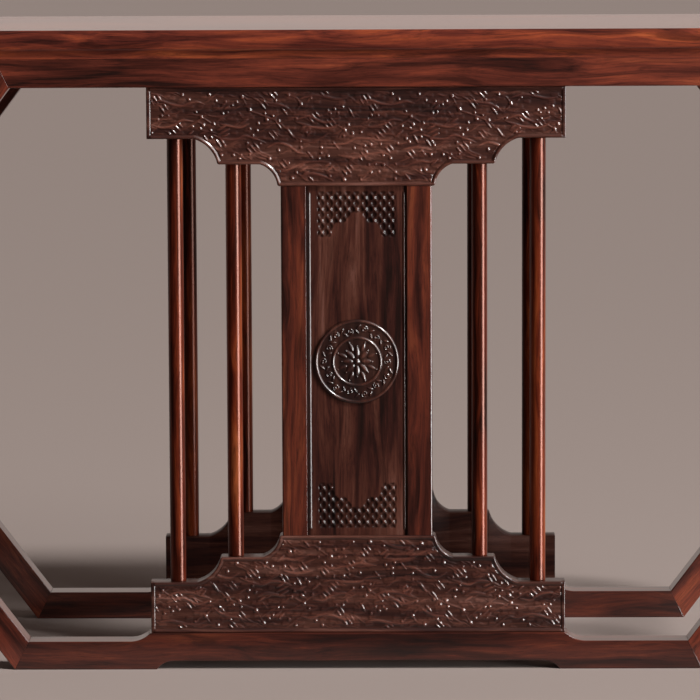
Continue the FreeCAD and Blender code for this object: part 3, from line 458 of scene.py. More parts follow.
boardMiddle = (0, (topBoard["underside"] + topFrame["top"]) / 2)
boardThick = topFrame["top"] - topBoard["underside"]
board = rectangle(boardMiddle, 2 * topBoard["halfDepth"], boardThick, topBoard["arris"])
makePiece("top_panel", topAlong, barAlongX(board, topBoard["halfLength"]))
battenLevel = (topBoard["battenFoot"] + topBoard["underside"]) / 2
battenHeight = topBoard["underside"] - topBoard["battenFoot"]
for count, x in enumerate(topBoard["battens"], start=1):
    section = rectangle((x, battenLevel), topBoard["battenWidth"], battenHeight, topBoard["battenArris"])
    makePiece(f"top_batten_{count}", innerWood, barAlongY(section, topBoard["battenReach"]))
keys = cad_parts["top_keys"]
keys.data.materials.clear()
keys.data.materials.append(innerWood)
print("top made")

sixSided = {
    "front": -255,  # outer face of the front frame
    "member": 47,
    "arris": 1.6,
    "topCorner": 567,
    "sideCorner": 903.26,
    "baseCorner": 547,
    "topRail": 966,
    "sideHeight": 519.79,
}
mitreShift = sixSided["member"] * math.tan(slope / 2)
sideWidth = sixSided["member"] / math.sin(slope)


# A member of a frame from the four corners of its face: its section is drawn between both mitres, and a
# point at share a of the width starts at inner + a * (outer - inner) of one mitre and ends so at the other
def mitredMember(innerStart, outerStart, innerEnd, outerEnd):
    size = sixSided["member"]
    section = rectangle((size / 2, size / 2), size, size, sixSided["arris"])
    share, depth = section[:, :1] / size, section[:, 1] + sixSided["front"]
    start = np.array(innerStart) + share * np.subtract(outerStart, innerStart)
    finish = np.array(innerEnd) + share * np.subtract(outerEnd, innerEnd)
    return ruledBar(np.insert(start, 1, depth, axis=1), np.insert(finish, 1, depth, axis=1))


topInner = (sixSided["topCorner"], sixSided["topRail"])
topOuter = (sixSided["topCorner"] + mitreShift, sixSided["topRail"] + sixSided["member"])
sideInner = (sixSided["sideCorner"], sixSided["sideHeight"])
sideOuter = (sixSided["sideCorner"] + sideWidth, sixSided["sideHeight"])
baseInner = (sixSided["baseCorner"], sixSided["member"])
baseOuter = (sixSided["baseCorner"] + mitreShift, 0)
leftTop = [(-x, z) for x, z in (topInner, topOuter)]
topMember = mitredMember(*leftTop, topInner, topOuter)
upperDiagonal = mitredMember(topInner, topOuter, sideInner, sideOuter)
lowerDiagonal = mitredMember(sideInner, sideOuter, baseInner, baseOuter)

bottomRail = {
    "riseStart": 378,
    "riseHead": (345, 61),
    "footInner": 334,
    "footHead": (307, 14),
    "hollow": 3.6,  # of the curve at each rise and foot
    "curveSteps": 14,
    "straights": (0, 305, 400),  # further sections in the straight parts
}


# The bottom rail: a rounded section whose upper points follow the rail's upper line and whose lower points
# follow its lower line, at stations along the rail. Its ends lie in the mitre planes, where
# x = corner + shift * (1 - z / member).
def bottomMember():
    size, steps = sixSided["member"], bottomRail["curveSteps"]
    rise = arcBetween(bottomRail["riseHead"], (bottomRail["riseStart"], size), -bottomRail["hollow"], steps)
    foot = arcBetween(bottomRail["footHead"], (bottomRail["footInner"], 0), bottomRail["hollow"], steps)
    x = bothSides(np.unique(np.concatenate([rise[:, 0], foot[:, 0], bottomRail["straights"]])))
    upper, lower = np.interp(np.abs(x), *rise.T)[:, None], np.interp(np.abs(x), *foot.T)[:, None]
    section = rectangle((size / 2, size / 2), size, size, sixSided["arris"])
    high = section[:, 1] > size / 2
    z = np.where(high, upper + section[:, 1] - size, lower + section[:, 1])
    y = np.broadcast_to(section[:, 0] + sixSided["front"], z.shape)
    rings = np.stack([np.broadcast_to(x[:, None], z.shape), y, z], axis=-1)
    mitre = sixSided["baseCorner"] + mitreShift * (1 - section[:, 1] / size)
    end = np.stack([mitre, y[0], section[:, 1]], axis=-1)
    ease, held = joint["ease"], joint["ease"] + joint["hold"]
    eased = end + ease * unit(end.mean(axis=0) - end) * (0, 1, 1)
    right = np.stack([end - (held, 0, 0), end - (ease, 0, 0), eased])
    return ringTube(np.concatenate([right[::-1] * (-1, 1, 1), rings, right]))


bottomShape = bottomMember()
for row in ("front", "rear"):
    makePiece(f"{row}_frame_top_rail", frameWood["along"], turnAbout(topMember, row))
    makePiece(f"{row}_frame_bottom_rail", footWood, turnAbout(bottomShape, row))
    for side in (-1, 1):
        hand = handOf(side, row)
        for height, shape, leans in (("upper", upperDiagonal, -1), ("lower", lowerDiagonal, 1)):
            lie = "leaningRight" if leans * (-1 if hand == "left" else 1) > 0 else "leaningLeft"
            sided = turnAbout(scaled(shape, (side, 1, 1)), row)
            makePiece(f"{row}_{height}_{hand}_diagonal", frameWood[lie], sided)


# The turn of flat points, for an angle in radians
def flatTurn(angle):
    return np.array([[math.cos(angle), math.sin(angle)], [-math.sin(angle), math.cos(angle)]])


crossRails = {
    "width": 40,
    "height": 30,
    "reach": 208,
    "arris": 2,
    "top": (472, 989.5, 0),
    "base": (271, 37.5, 0),
    "side": (895.4, 470.3, 53),  # x, z and the turn that lays it square to the diagonal
}
crossSection = rectangle((0, 0), crossRails["width"], crossRails["height"], crossRails["arris"])
for place in ("top", "base", "side"):
    x, z, turn = crossRails[place]
    for side, hand in ((-1, "left"), (1, "right")):
        section = crossSection @ flatTurn(math.radians(turn * side)) + (side * x, z)
        shape = barAlongY(section, crossRails["reach"])
        makePiece(f"{place}_{hand}_cross_rail", innerWood, shape)
print("frames made")


# A smooth line through points: each span is a cubic in t whose slope at a point is half the step between
# that point's neighbours
def smoothLine(points, steps=8):
    points = np.array(points, float)
    padded = np.vstack([2 * points[0] - points[1], points, 2 * points[-1] - points[-2]])
    a, b, c, d = padded[:-3, None], padded[1:-2, None], padded[2:-1, None], padded[3:, None]
    t = np.linspace(0, 1, steps, endpoint=False)[None, :, None]
    spans = 2 * b + (c - a) * t + (2 * a - 5 * b + 4 * c - d) * t**2 + (3 * b - a - 3 * c + d) * t**3
    return np.vstack([spans.reshape(-1, 2) / 2, points[-1]])


# Points round a middle, each at its reach and angle
def pointsRound(middle, reach, angle):
    return np.stack([middle[0] + reach * np.cos(angle), middle[1] + reach * np.sin(angle)], axis=1)


# Widths of a stroke that is thickest half-way: least + (1 - least) * sin(pi * share)^power
def spindle(share, least, power=1):
    return least + (1 - least) * np.sin(share * math.pi) ** power


# A curl for the roundel: a spiral whose reach falls evenly to a quarter as it turns
def curlLine(middle, radius, start, turns, steps):
    share = np.linspace(0, 1, steps)
    return pointsRound(middle, radius * (1 - 0.75 * share), start + turns * 2 * math.pi * share)


# For each point, the share of a segment's length at which the segment is nearest, and the distance there
def nearSegment(x, y, start, finish):
    step = finish - start
    x, y = x - start[0], y - start[1]
    share = np.clip((x * step[0] + y * step[1]) / max(step @ step, 1e-9), 0, 1)
    return share, np.hypot(x - share * step[0], y - share * step[1])


# Raises a ridge on a height field of square cells: rise * (1 - (distance / width)^1.5) beside each of the
# line's segments, whose width changes evenly along it, with rise = height * (width / greatest width)^0.6.
# The highest stroke in a cell counts.
def raiseStroke(field, cell, line, widths, height):
    line, widths = np.atleast_2d(line), np.atleast_1d(widths)
    if len(line) == 1:
        line, widths = np.repeat(line, 2, axis=0), np.repeat(widths, 2)
    for start, finish, startWidth, finishWidth in zip(line[:-1], line[1:], widths[:-1], widths[1:]):
        low = np.floor((np.minimum(start, finish) - widths.max()) / cell).astype(int)
        high = np.ceil((np.maximum(start, finish) + widths.max()) / cell).astype(int)
        columns = np.arange(low[0], high[0] + 1)
        rows = np.arange(max(low[1], 0), min(high[1], field.shape[1] - 1) + 1)
        share, distance = nearSegment(columns[:, None] * cell, rows[None, :] * cell, start, finish)
        width = startWidth + share * (finishWidth - startWidth)
        rise = height * (width / widths.max()) ** 0.6
        raised = rise * (1 - np.clip(distance / width, 0, 1) ** 1.5)
        window = np.ix_(columns % field.shape[0], rows)
        field[window] = np.maximum(field[window], raised)


# The field's height between its cells, with each side's share of the four cells around. It repeats in x.
def sampleField(field, cell, x, y):
    column, row = np.floor(x / cell).astype(int), np.floor(y / cell).astype(int)
    a, b = x / cell - column, y / cell - row
    left, right = column % field.shape[0], (column + 1) % field.shape[0]
    low, high = np.clip(row, 0, field.shape[1] - 1), np.clip(row + 1, 0, field.shape[1] - 1)
    near = field[left, low] * (1 - a) + field[right, low] * a
    far = field[left, high] * (1 - a) + field[right, high] * a
    return near * (1 - b) + far * b


# The ornament of a carved panel: buds and leaves over waves, in x and in depth below the rail. It repeats
# after half the panel.
ornament = {
    "seed": 12,
    "repeat": 343,
    "depth": 165,
    "cell": 0.7,
    "steps": 14,  # points of a ripple or a leaf
    "bud": (3.3, 2.1),  # half width and height of each kind of stroke
    "greatBud": (4.2, 2.5),
    "leaf": (2.5, 1.9),
    "twig": (2, 1.1),
    "wave": (3.2, 1.6),
    "ripple": (2.1, 1.05),
    "least": {"ripple": 0.3, "wave": 0.3, "twig": 0.5, "leaf": 0.5},  # the ends' share of the width
    "taper": 0.5,  # the power by which waves and twigs grow thinner
    "rippleCount": 150,
    "rippleLengths": (18, 44),
    "rippleBows": (-3.5, 3.5),
    "swell": (0.4, 90),  # the ripples' greatest turn in radians, and its repeat in depth
    "mark": (3, 4.4, 0.8),  # half widths of a tool mark at its ends, and its height
    "markReach": 3,
    "markCount": 420,
    "greatBuds": [
        (157, 16), (169, 37), (197, 53), (233, 13), (253, 28), (122, 111), (201, 117), (113, 136),
        (90, 49), (93, 62), (110, 60), (24, 95), (45, 128), (323, 152), (330, 62), (324, 70), (238, 149),
    ],
    "buds": [
        (59, 12), (103, 12), (130, 24), (148, 24), (125, 43), (133, 42), (141, 29), (81, 40), (88, 67),
        (75, 64), (105, 70), (106, 82), (87, 90), (82, 85), (68, 93), (25, 46), (36, 46), (19, 53),
        (40, 94), (14, 97), (32, 127), (21, 128), (56, 117), (65, 127), (64, 140), (24, 140), (37, 139),
        (8, 152), (64, 151), (194, 43), (207, 47), (217, 55), (183, 59), (169, 68), (181, 71), (174, 79),
        (165, 92), (169, 110), (155, 111), (142, 111), (152, 117), (216, 103), (297, 39), (308, 36),
        (301, 43), (314, 43), (321, 32), (323, 80), (337, 76), (286, 99), (286, 108), (297, 113),
        (282, 117), (252, 89), (253, 99), (245, 140), (267, 68), (262, 75), (105, 137), (8, 74),
        (246, 52), (150, 138), (190, 148), (44, 112), (128, 96), (212, 22), (70, 20), (340, 100),
        (176, 136), (300, 146), (232, 124), (12, 16), (114, 22), (186, 92), (48, 60), (270, 18),
    ],
    "leafGroup": ((0, 1.5), (7, 1.2), (-7, 1)),  # how far apart, and how much longer; chance takes 1 to 3
    "leaves": [  # x, depth, length and turn in degrees
        (26, 36, 10, 55), (235, 75, 13, 55), (98, 86, 10, 60), (174, 100, 12, 50), (335, 42, 11, 60),
        (262, 71, 11, -40), (70, 77, 11, -40), (95, 74, 12, -20), (126, 73, 14, -25), (128, 124, 10, -40),
        (257, 135, 11, -30), (132, 33, 10, -40), (190, 30, 10, 50), (300, 60, 10, 48), (15, 20, 10, 55),
        (205, 80, 10, 50), (160, 56, 10, -30), (275, 50, 10, 50), (50, 66, 10, 45), (118, 92, 9, 55),
        (310, 96, 10, 50), (222, 128, 10, 48), (175, 130, 10, 50), (268, 112, 10, 52), (338, 118, 9, -30),
        (88, 112, 10, 50), (128, 150, 10, 45), (300, 134, 10, -35), (270, 152, 10, 45), (84, 148, 9, 50),
        (205, 14, 9, 45), (290, 14, 9, 40), (40, 78, 9, 45), (12, 112, 9, 50), (330, 136, 9, 50),
        (216, 62, 10, 52), (226, 40, 9, 50), (110, 108, 8, 50), (52, 104, 9, 50), (160, 150, 8, 40),
    ],
    "twigs": [
        [(48, 76), (62, 68), (80, 58), (100, 44), (122, 34), (146, 22)],
        [(104, 66), (116, 56), (130, 46), (146, 36), (160, 26)],
        [(157, 16), (169, 37), (184, 44), (200, 50), (217, 58), (235, 75), (252, 92)],
        [(233, 13), (246, 18), (253, 28)],
        [(165, 92), (178, 104), (192, 113), (204, 116)],
        [(301, 58), (318, 66), (330, 78)],
        [(20, 128), (34, 124), (48, 128), (62, 138)],
    ],
    "waves": [
        [(243, 55), (256, 50), (267, 48), (280, 54), (293, 59), (307, 54), (318, 50)],
        [(246, 58), (260, 62), (272, 66), (290, 68), (306, 66), (320, 57)],
        [(296, 94), (312, 94), (328, 92), (342, 85), (364, 85), (386, 88), (402, 84)],
        [(312, 112), (328, 114), (342, 116), (360, 111), (384, 108), (398, 112)],
        [(250, 20), (272, 14), (292, 16), (312, 20), (330, 18)],
        [(108, 78), (124, 84), (144, 86), (160, 80), (176, 84), (196, 92)],
        [(186, 20), (200, 26), (216, 28), (230, 34), (240, 42)],
        [(10, 62), (26, 66), (44, 62), (58, 54), (76, 56)],
        [(4, 26), (22, 22), (42, 28), (60, 30), (80, 24), (96, 28)],
        [(120, 60), (138, 64), (154, 66), (168, 60)],
        [(196, 100), (214, 92), (232, 96), (250, 108), (272, 112)],
        [(202, 134), (222, 138), (240, 132), (258, 124), (280, 122), (300, 124)],
        [(252, 146), (270, 142), (288, 146), (306, 154)],
        [(132, 138), (146, 130), (164, 124), (182, 128), (200, 126)],
        [(76, 132), (92, 126), (106, 122), (120, 124), (134, 120)],
        [(74, 104), (92, 100), (108, 100), (124, 104)],
    ],
}


# The field of the ornament's heights in mm. Shallow tool marks lie lowest, then ripples and waves. The
# ripples follow a slow swell: angle = swell * sin(2 pi (2 x / repeat + depth / the swell's repeat)).
def ornamentField():
    cell, least = ornament["cell"], ornament["least"]
    share = np.linspace(0, 1, ornament["steps"])
    full = (ornament["repeat"], ornament["depth"])
    field = np.zeros((round(full[0] / cell), round(full[1] / cell)))
    chance = np.random.default_rng(ornament["seed"])
    reach, (*markWidths, markHeight) = ornament["markReach"], ornament["mark"]
    for spot in chance.uniform((0, 0), full, (ornament["markCount"], 2)):
        raiseStroke(field, cell, spot + [(-reach, 0), (reach, 0)], markWidths, markHeight)
    swell, swellRepeat = ornament["swell"]
    for x, depth in chance.uniform((0, 0), full, (ornament["rippleCount"], 2)):
        angle = swell * math.sin(2 * math.pi * (2 * x / full[0] + depth / swellRepeat))
        length, bow = chance.uniform(*ornament["rippleLengths"]), chance.uniform(*ornament["rippleBows"])
        line = np.stack([(share - 0.5) * length, bow * np.sin(share * 2 * math.pi)], axis=1)
        width, height = ornament["ripple"]
        widths = width * spindle(share, least["ripple"])
        raiseStroke(field, cell, line @ flatTurn(angle) + (x, depth), widths, height)
    for kind in ("wave", "twig"):
        width, height = ornament[kind]
        for points in ornament[kind + "s"]:
            line = smoothLine(points)
            widths = width * spindle(np.linspace(0, 1, len(line)), least[kind], ornament["taper"])
            raiseStroke(field, cell, line, widths, height)
    for x, depth, length, turn in ornament["leaves"]:
        way = flatTurn(math.radians(turn))[0]
        width, height = ornament["leaf"]
        for apart, longer in ornament["leafGroup"][: chance.integers(1, 4)]:
            middle = (x, depth) + apart * way[::-1] * (1, -1)
            line = (share[:, None] - 0.5) * length * longer * way + middle
            raiseStroke(field, cell, line, width * spindle(share, least["leaf"]), height)
    for kind in ("bud", "greatBud"):
        for spot in ornament[kind + "s"]:
            raiseStroke(field, cell, spot, *ornament[kind])
    return field


carvedPanel = {
    "half": 343,
    "seat": 966,  # the rail's underside, from which depth is measured
    "ground": -249,
    "back": -211.5,
    "drops": (162.5, 126.5, 84.5),  # depth of the edge at the middle, between the curves and at the end
    "curves": ((129.5, 157.5, 5.8), (228, 266, 7)),  # where each starts and ends, and its hollow
    "cusp": 4,
    "rimWidth": 6.6,
    "rimHeight": 2.4,
    "rimCrest": 2.8,
    "rimStart": 0.1,  # makes the rim's outer edge stand up a little at once
    "rimSlope": 1.25,  # the power that shapes its inner slope
    "rimSteps": 13,
    "rimEnd": 0.5,  # what is left of its height at the panel's ends
    "rimPolish": 0.3,  # how bright the rim is rubbed, as a share of its height
    "endPolish": 0.08,
    "groundEase": 1.6,  # the carving grows to its full height over this, inside the rim
    "cuspSteps": 8,
    "curveSteps": 24,
    "columnStep": 1.12,
    "columnGap": 0.8,  # at least this far from the rim at the end
    "groundRows": 112,
    "edgeSteps": 200,  # at which a section looks for the rim
    "backArris": 1,
}


# The stepped edge of a carved panel from its middle to its end, as x and depth below the rail
def steppedEdge():
    cusp, drops = carvedPanel["cusp"], carvedPanel["drops"]
    bend = cusp * (1 - math.cos(math.pi / 4))
    points = [[(0, drops[0])]]
    for (start, finish, hollow), high, low in zip(carvedPanel["curves"], drops, drops[1:]):
        turn = (start, high - cusp)
        points.append(arcBetween((start - cusp, high), turn, bend, carvedPanel["cuspSteps"]))
        points.append(arcBetween(turn, (finish, low), -hollow, carvedPanel["curveSteps"])[1:])
    points.append([(carvedPanel["half"], drops[-1])])
    return np.vstack(points)


# Distance from points to a line of segments, the least of those to each
def lineDistance(x, depth, line):
    least = np.full(np.broadcast(x, depth).shape, 1e9)
    for start, finish in zip(line[:-1], line[1:]):
        least = np.minimum(least, nearSegment(x, depth, start, finish)[1])
    return least


# A carved panel as a tube of closed upright sections along its length: each section goes down the front,
# over the rim, the ground with its carving and the rim again, round the stepped edge and up the back.
# The rim rises round its outer edge to a crest, as height * sqrt(1 - (distance short of the crest /
# (crest + start))^2), and falls inwards from there, as height * (1 - share of the way^slope). At the
# panel's ends it is worn down towards half its height, as distance from the end / rim width.
def carvedShape():
    edge = steppedEdge()
    half, rimWidth = carvedPanel["half"], carvedPanel["rimWidth"]
    rimRows = rimWidth * (1 - np.cos(np.linspace(0, math.pi, carvedPanel["rimSteps"]))) / 2
    run = np.concatenate([[0], np.cumsum(np.linalg.norm(np.diff(edge, axis=0), axis=1))])
    even = np.interp(np.arange(0, run[-1], carvedPanel["columnStep"]), run, edge[:, 0])
    even = even[even < half - rimWidth - carvedPanel["columnGap"]]
    x = bothSides(np.unique(np.concatenate([even, half - rimRows])))
    drop = np.interp(np.abs(x), *edge.T)
    fine = np.linspace(0, 1, carvedPanel["edgeSteps"])
    distance = lineDistance(np.abs(x)[:, None], fine * drop[:, None], edge)

    # Depth at which each section is as far from the stepped edge as asked
    def depthAt(away):
        inside = distance > away
        last = np.clip(len(fine) - 1 - np.argmax(inside[:, ::-1], axis=1), 0, len(fine) - 2)
        each = np.arange(len(x))
        near, far = distance[each, last], distance[each, last + 1]
        return drop * (fine[last] + (near - away) / (near - far) * fine[1])

    rimDepths = [depthAt(away) for away in rimRows[:0:-1]] + [drop]
    share = np.linspace(0, 1, carvedPanel["groundRows"] + 2)[1:-1, None]
    ground = rimWidth + share * (rimDepths[0] - rimWidth)
    rail = np.broadcast_to(rimRows[:, None], (len(rimRows), len(x)))
    depth = np.vstack([rail, ground, np.array(rimDepths)])
    fromEnd = half - np.abs(x)
    away = np.minimum(lineDistance(np.abs(x), depth, edge), np.minimum(depth, fromEnd))
    crest, slopeWidth = carvedPanel["rimCrest"], rimWidth - carvedPanel["rimCrest"]
    outer = np.sqrt(1 - (np.clip(crest - away, 0, crest) / (crest + carvedPanel["rimStart"])) ** 2)
    inner = 1 - (np.clip(away - crest, 0, slopeWidth) / slopeWidth) ** carvedPanel["rimSlope"]
    endShare = np.clip(fromEnd / rimWidth, carvedPanel["rimEnd"], 1)
    rim = carvedPanel["rimHeight"] * np.where(away < crest, outer, inner) * endShare
    blend = np.clip((away - rimWidth) / carvedPanel["groundEase"], 0, 1)
    relief = sampleField(ornamentField(), ornament["cell"], x + half, depth) * blend
    height = np.maximum(rim, relief)
    polish = np.where(fromEnd < rimWidth, carvedPanel["endPolish"], carvedPanel["rimPolish"])
    wearAndShade = np.where(relief > rim, relief, polish * rim)
    back, arris, level = carvedPanel["back"], carvedPanel["backArris"], np.zeros(len(x))
    y = np.vstack([carvedPanel["ground"] - height, level + back - arris, level + back, level + back])
    depth = np.vstack([depth, drop, depthAt(arris), level])
    # The back rows get no share, so the backs take the darkest and dullest colour: painted shade
    wearAndShade = np.vstack([wearAndShade, level, level, level])
    rings = np.stack([np.broadcast_to(x, depth.shape), y, carvedPanel["seat"] - depth], axis=-1)
    return ringTube(rings.transpose(1, 0, 2)), wearAndShade.T / carvedPanel["rimHeight"]


# The lower panel is the upper one turned in its plane, about the point half-way between the rails
carvedTurn = 1027
upperCarved, carvedHeights = carvedShape()
lowerCarved = ((0, 0, carvedTurn) + upperCarved[0] * (-1, 1, -1), *upperCarved[1:])
for row in ("front", "rear"):
    for height, shape in (("upper", upperCarved), ("lower", lowerCarved)):
        makePiece(
            f"{row}_{height}_carved_panel",
            carvedWood[row + height.capitalize()],
            turnAbout(shape, row),
            sharpAngle=60,
            carved=carvedHeights,
        )
print("carved panels made:", len(upperCarved[1]), "quads each")

column = {
    "radius": 13,
    "sides": 48,
    "middle": -231.5,
    "ease": 0.7,
    "outer": (298, 145.5, 881.5),  # place, foot and head
    "inner": (202, 187.5, 839.5),
}


# A bar that stands upright on a level section
def uprightBar(section, foot, head, ease=joint["ease"]):
    return ruledBar(np.insert(section, 2, foot, axis=1), np.insert(section, 2, head, axis=1), ease)


roundTurns = np.linspace(0, 2 * math.pi, column["sides"], endpoint=False)
for row, y in (("front", column["middle"]), ("rear", -column["middle"])):
    for place in ("outer", "inner"):
        x, foot, head = column[place]
        for side, hand in ((-1, "left"), (1, "right")):
            circle = pointsRound((side * x, y), column["radius"], roundTurns)
            shape = uprightBar(circle, foot, head, column["ease"])
            makePiece(f"{row}_{place}_{hand}_column", turnedWood[row], shape, sharpAngle=50)

stile = {
    "inner": 83,
    "outer": 124,
    "front": -249.5,
    "back": -213.5,
    "foot": 223.5,
    "head": 803.5,
    "round": 3,
    "innerRound": 0.5,
    "backRound": 1,
}
stileSection = roundedSection(
    [
        (stile["inner"], stile["front"], stile["innerRound"]),
        (stile["outer"], stile["front"], stile["round"]),
        (stile["outer"], stile["back"], stile["backRound"]),
        (stile["inner"], stile["back"], stile["backRound"]),
    ]
)
stileShape = uprightBar(stileSection, stile["foot"], stile["head"])
for row in ("front", "rear"):
    for side in (-1, 1):
        sided = turnAbout(scaled(stileShape, (side, 1, 1)), row)
        makePiece(f"{row}_{handOf(side, row)}_stile", stileWood, sided)
print("columns and stiles made")

# The carved height is divided by this to give its share of lightness and gloss: rubbed wear and painted
# light
fullPolish = 3  # height in mm that is rubbed fully bright
centrePanel = {
    "half": 82.8,
    "face": -245.5,
    "back": -229.5,
    "foot": 223.7,
    "head": 803.3,
    "bead": (77.8, 2.5, 1.3),  # middle, half width and height
    "beadEnd": 9,  # short of the panel's ends by this much
    "beadRound": 1.4,  # the power that shapes its section
    "beadSteps": 11,
    "beadGap": 0.6,  # from its foot to the next point of the face
    # The painted shade of the groove beside the bead reaches this far under it
    "grooveLap": 0.1,  # the dull groove beside it reaches this far under it
    "carvedLength": 92,  # of each end
    "step": 1.25,
    "plainRows": 30,  # between the carved ends
    "beadPolish": 0.2,  # how bright each part is rubbed, where 1 is the brightest
    "facePolish": 0.55,
    "backPolish": 0.6,
    "latticeDull": 0.3,
}
lattice = {
    "middle": 515,  # height between the upper and the lower lattice
    "pitch": 14.4,
    "rowPitch": 19,
    "firstRow": 269,  # from that middle to the outermost row of dots
    "halfWidth": 64.8,
    "beyond": 11,  # how far it goes on past the outermost row
    "softness": 2.5,  # of its edges
    "reach": 1.35,  # of its middle, in rows
    "steps": ((6, 16, 0.85), (33, 12, 1.25)),  # each from x, over a width, by this many rows
    "dot": (2.9, 1.7),  # radius and height
    "hollow": 1.6,  # depth of the diamonds between the dots
    "crisp": (1.7, 0.35),  # gain and loss that give the diamonds their edges
}


# The lattice's height over the panel's face. A round dot stands at each whole pitch and row. With p and q
# counted along both diagonals, the hollows are deepest where both are half-way, between neighbouring dots.
# Towards the middle of the panel it ends in a stepped bracket, whose reach grows in smooth steps,
# t^2 (3 - 2 t).
def latticeHeight(x, z):
    pitch, rowPitch, softness = lattice["pitch"], lattice["rowPitch"], lattice["softness"]
    out = lattice["firstRow"] - np.abs(z - lattice["middle"])
    p, q = x / pitch + out / rowPitch, x / pitch - out / rowPitch
    reach = lattice["reach"]
    for start, width, rows in lattice["steps"]:
        t = np.clip((np.abs(x) - start) / width, 0, 1)
        reach = reach + rows * t**2 * (3 - 2 * t)
    inside = np.clip((rowPitch * reach - out) / softness, 0, 1)
    inside = inside * np.clip((out + lattice["beyond"]) / softness, 0, 1)
    inside = inside * np.clip((lattice["halfWidth"] - np.abs(x)) / softness, 0, 1)
    gain, loss = lattice["crisp"]
    diamond = np.clip(gain * np.abs(np.sin(math.pi * p) * np.sin(math.pi * q)) - loss, 0, 1)
    away = np.hypot(x - pitch * np.round(x / pitch), out - rowPitch * np.round(out / rowPitch))
    dot = lattice["dot"][1] * np.sqrt(np.clip(1 - (away / lattice["dot"][0]) ** 2, 0, 1))
    return inside * (dot - lattice["hollow"] * diamond), inside


# The centre panel: closed level sections from its foot to its head, flat behind. The bead along each side
# is height * (1 - (distance / half width)^round), with the distance to its middle line.
def centreShape():
    middle, halfWidth, rise = centrePanel["bead"]
    gap, lap = centrePanel["beadGap"], centrePanel["grooveLap"]
    beadX = middle + halfWidth * np.sin(np.linspace(-math.pi / 2, math.pi / 2, centrePanel["beadSteps"]))
    flatX = np.linspace(0, middle - halfWidth - gap, round(middle / centrePanel["step"]))
    x = bothSides(np.concatenate([flatX, beadX, [middle + halfWidth + gap, centrePanel["half"]]]))
    foot, head, carved = centrePanel["foot"], centrePanel["head"], centrePanel["carvedLength"]
    low = np.linspace(foot, foot + carved, round(carved / centrePanel["step"]))
    plain = np.linspace(low[-1], head - carved, centrePanel["plainRows"])[1:-1]
    z = np.concatenate([low, plain, head - low[::-1] + foot])[:, None]
    end = centrePanel["beadEnd"] + halfWidth
    away = np.hypot(np.abs(x) - middle, z - np.clip(z, foot + end, head - end))
    bead = rise * (1 - np.clip(away / halfWidth, 0, 1) ** centrePanel["beadRound"])
    dots, inside = latticeHeight(x, z)
    height = np.where(np.abs(x) < middle - halfWidth, dots, bead)
    shadedGroove = (np.abs(x) > middle) & (away > halfWidth - lap)
    y = np.hstack([centrePanel["face"] - height, np.full((len(z), 2), centrePanel["back"])])
    x = np.broadcast_to(np.concatenate([x, [centrePanel["half"], -centrePanel["half"]]]), y.shape)
    rings = np.stack([x, y, np.broadcast_to(z, y.shape)], axis=-1)
    facePolish = centrePanel["facePolish"] - centrePanel["latticeDull"] * inside + height / fullPolish
    wearAndShade = np.where(bead > 0, centrePanel["beadPolish"], np.clip(facePolish, 0, 1))
    # The groove beside each bead gets no share, so it is painted dark and dull: painted shade between bead
    # and stile
    wearAndShade[shadedGroove] = 0
    return ringTube(rings), np.hstack([wearAndShade, np.full((len(z), 2), centrePanel["backPolish"])])


centreSurface, centreHeights = centreShape()
for row in ("front", "rear"):
    shape = turnAbout(centreSurface, row)
    makePiece(f"{row}_centre_panel", centreWood, shape, sharpAngle=60, carved=centreHeights)

roundel = {
    "middle": 513.5,
    "radius": 69.5,
    "ground": -248.5,
    "back": -244.6,
    "rings": (66.75, 39.25),
    "ringHalf": 2.75,
    "ringHeight": 2,
    "ringRound": 1.4,  # the power that shapes a ring's section
    "ringTurn": 1.57,  # its points turn from minus this angle to this one
    "ringSteps": 11,
    "ringGap": 0.2,  # from a ring's foot to the next circle
    "cell": 0.5,
    "firstCircle": 1,
    "step": 0.6,
    "sides": 360,
    "bandMiddle": 53,
    "scrolls": 14,  # repeats of the leaf scroll round the band
    "curl": (5.6, 1.2, 2),  # radius, turns and rise of its middle
    "curlWidths": (0.8, 1.3),  # half widths at its start and end
    "curlHeight": 2,
    "curlSteps": 16,
    "leaves": ((9, 5, -50), (12, -3, 40)),  # run, rise and turn in degrees
    "leafLength": 9,
    "leaf": (1.6, 2.2),  # half width and height
    "leafLeast": 0.35,  # its ends' share of the width
    "strokeSteps": 12,
    "petals": 8,
    "petalRings": ((8, 24, 4.6, 2), (19, 33, 3.6, 1.6)),  # start, end, half width and height
    "petalDot": (1.2, 1.7, 2.4),  # beyond the petal's end, half width and height
    "heart": (5, 2.6),  # half width and height of the dome in the middle
}


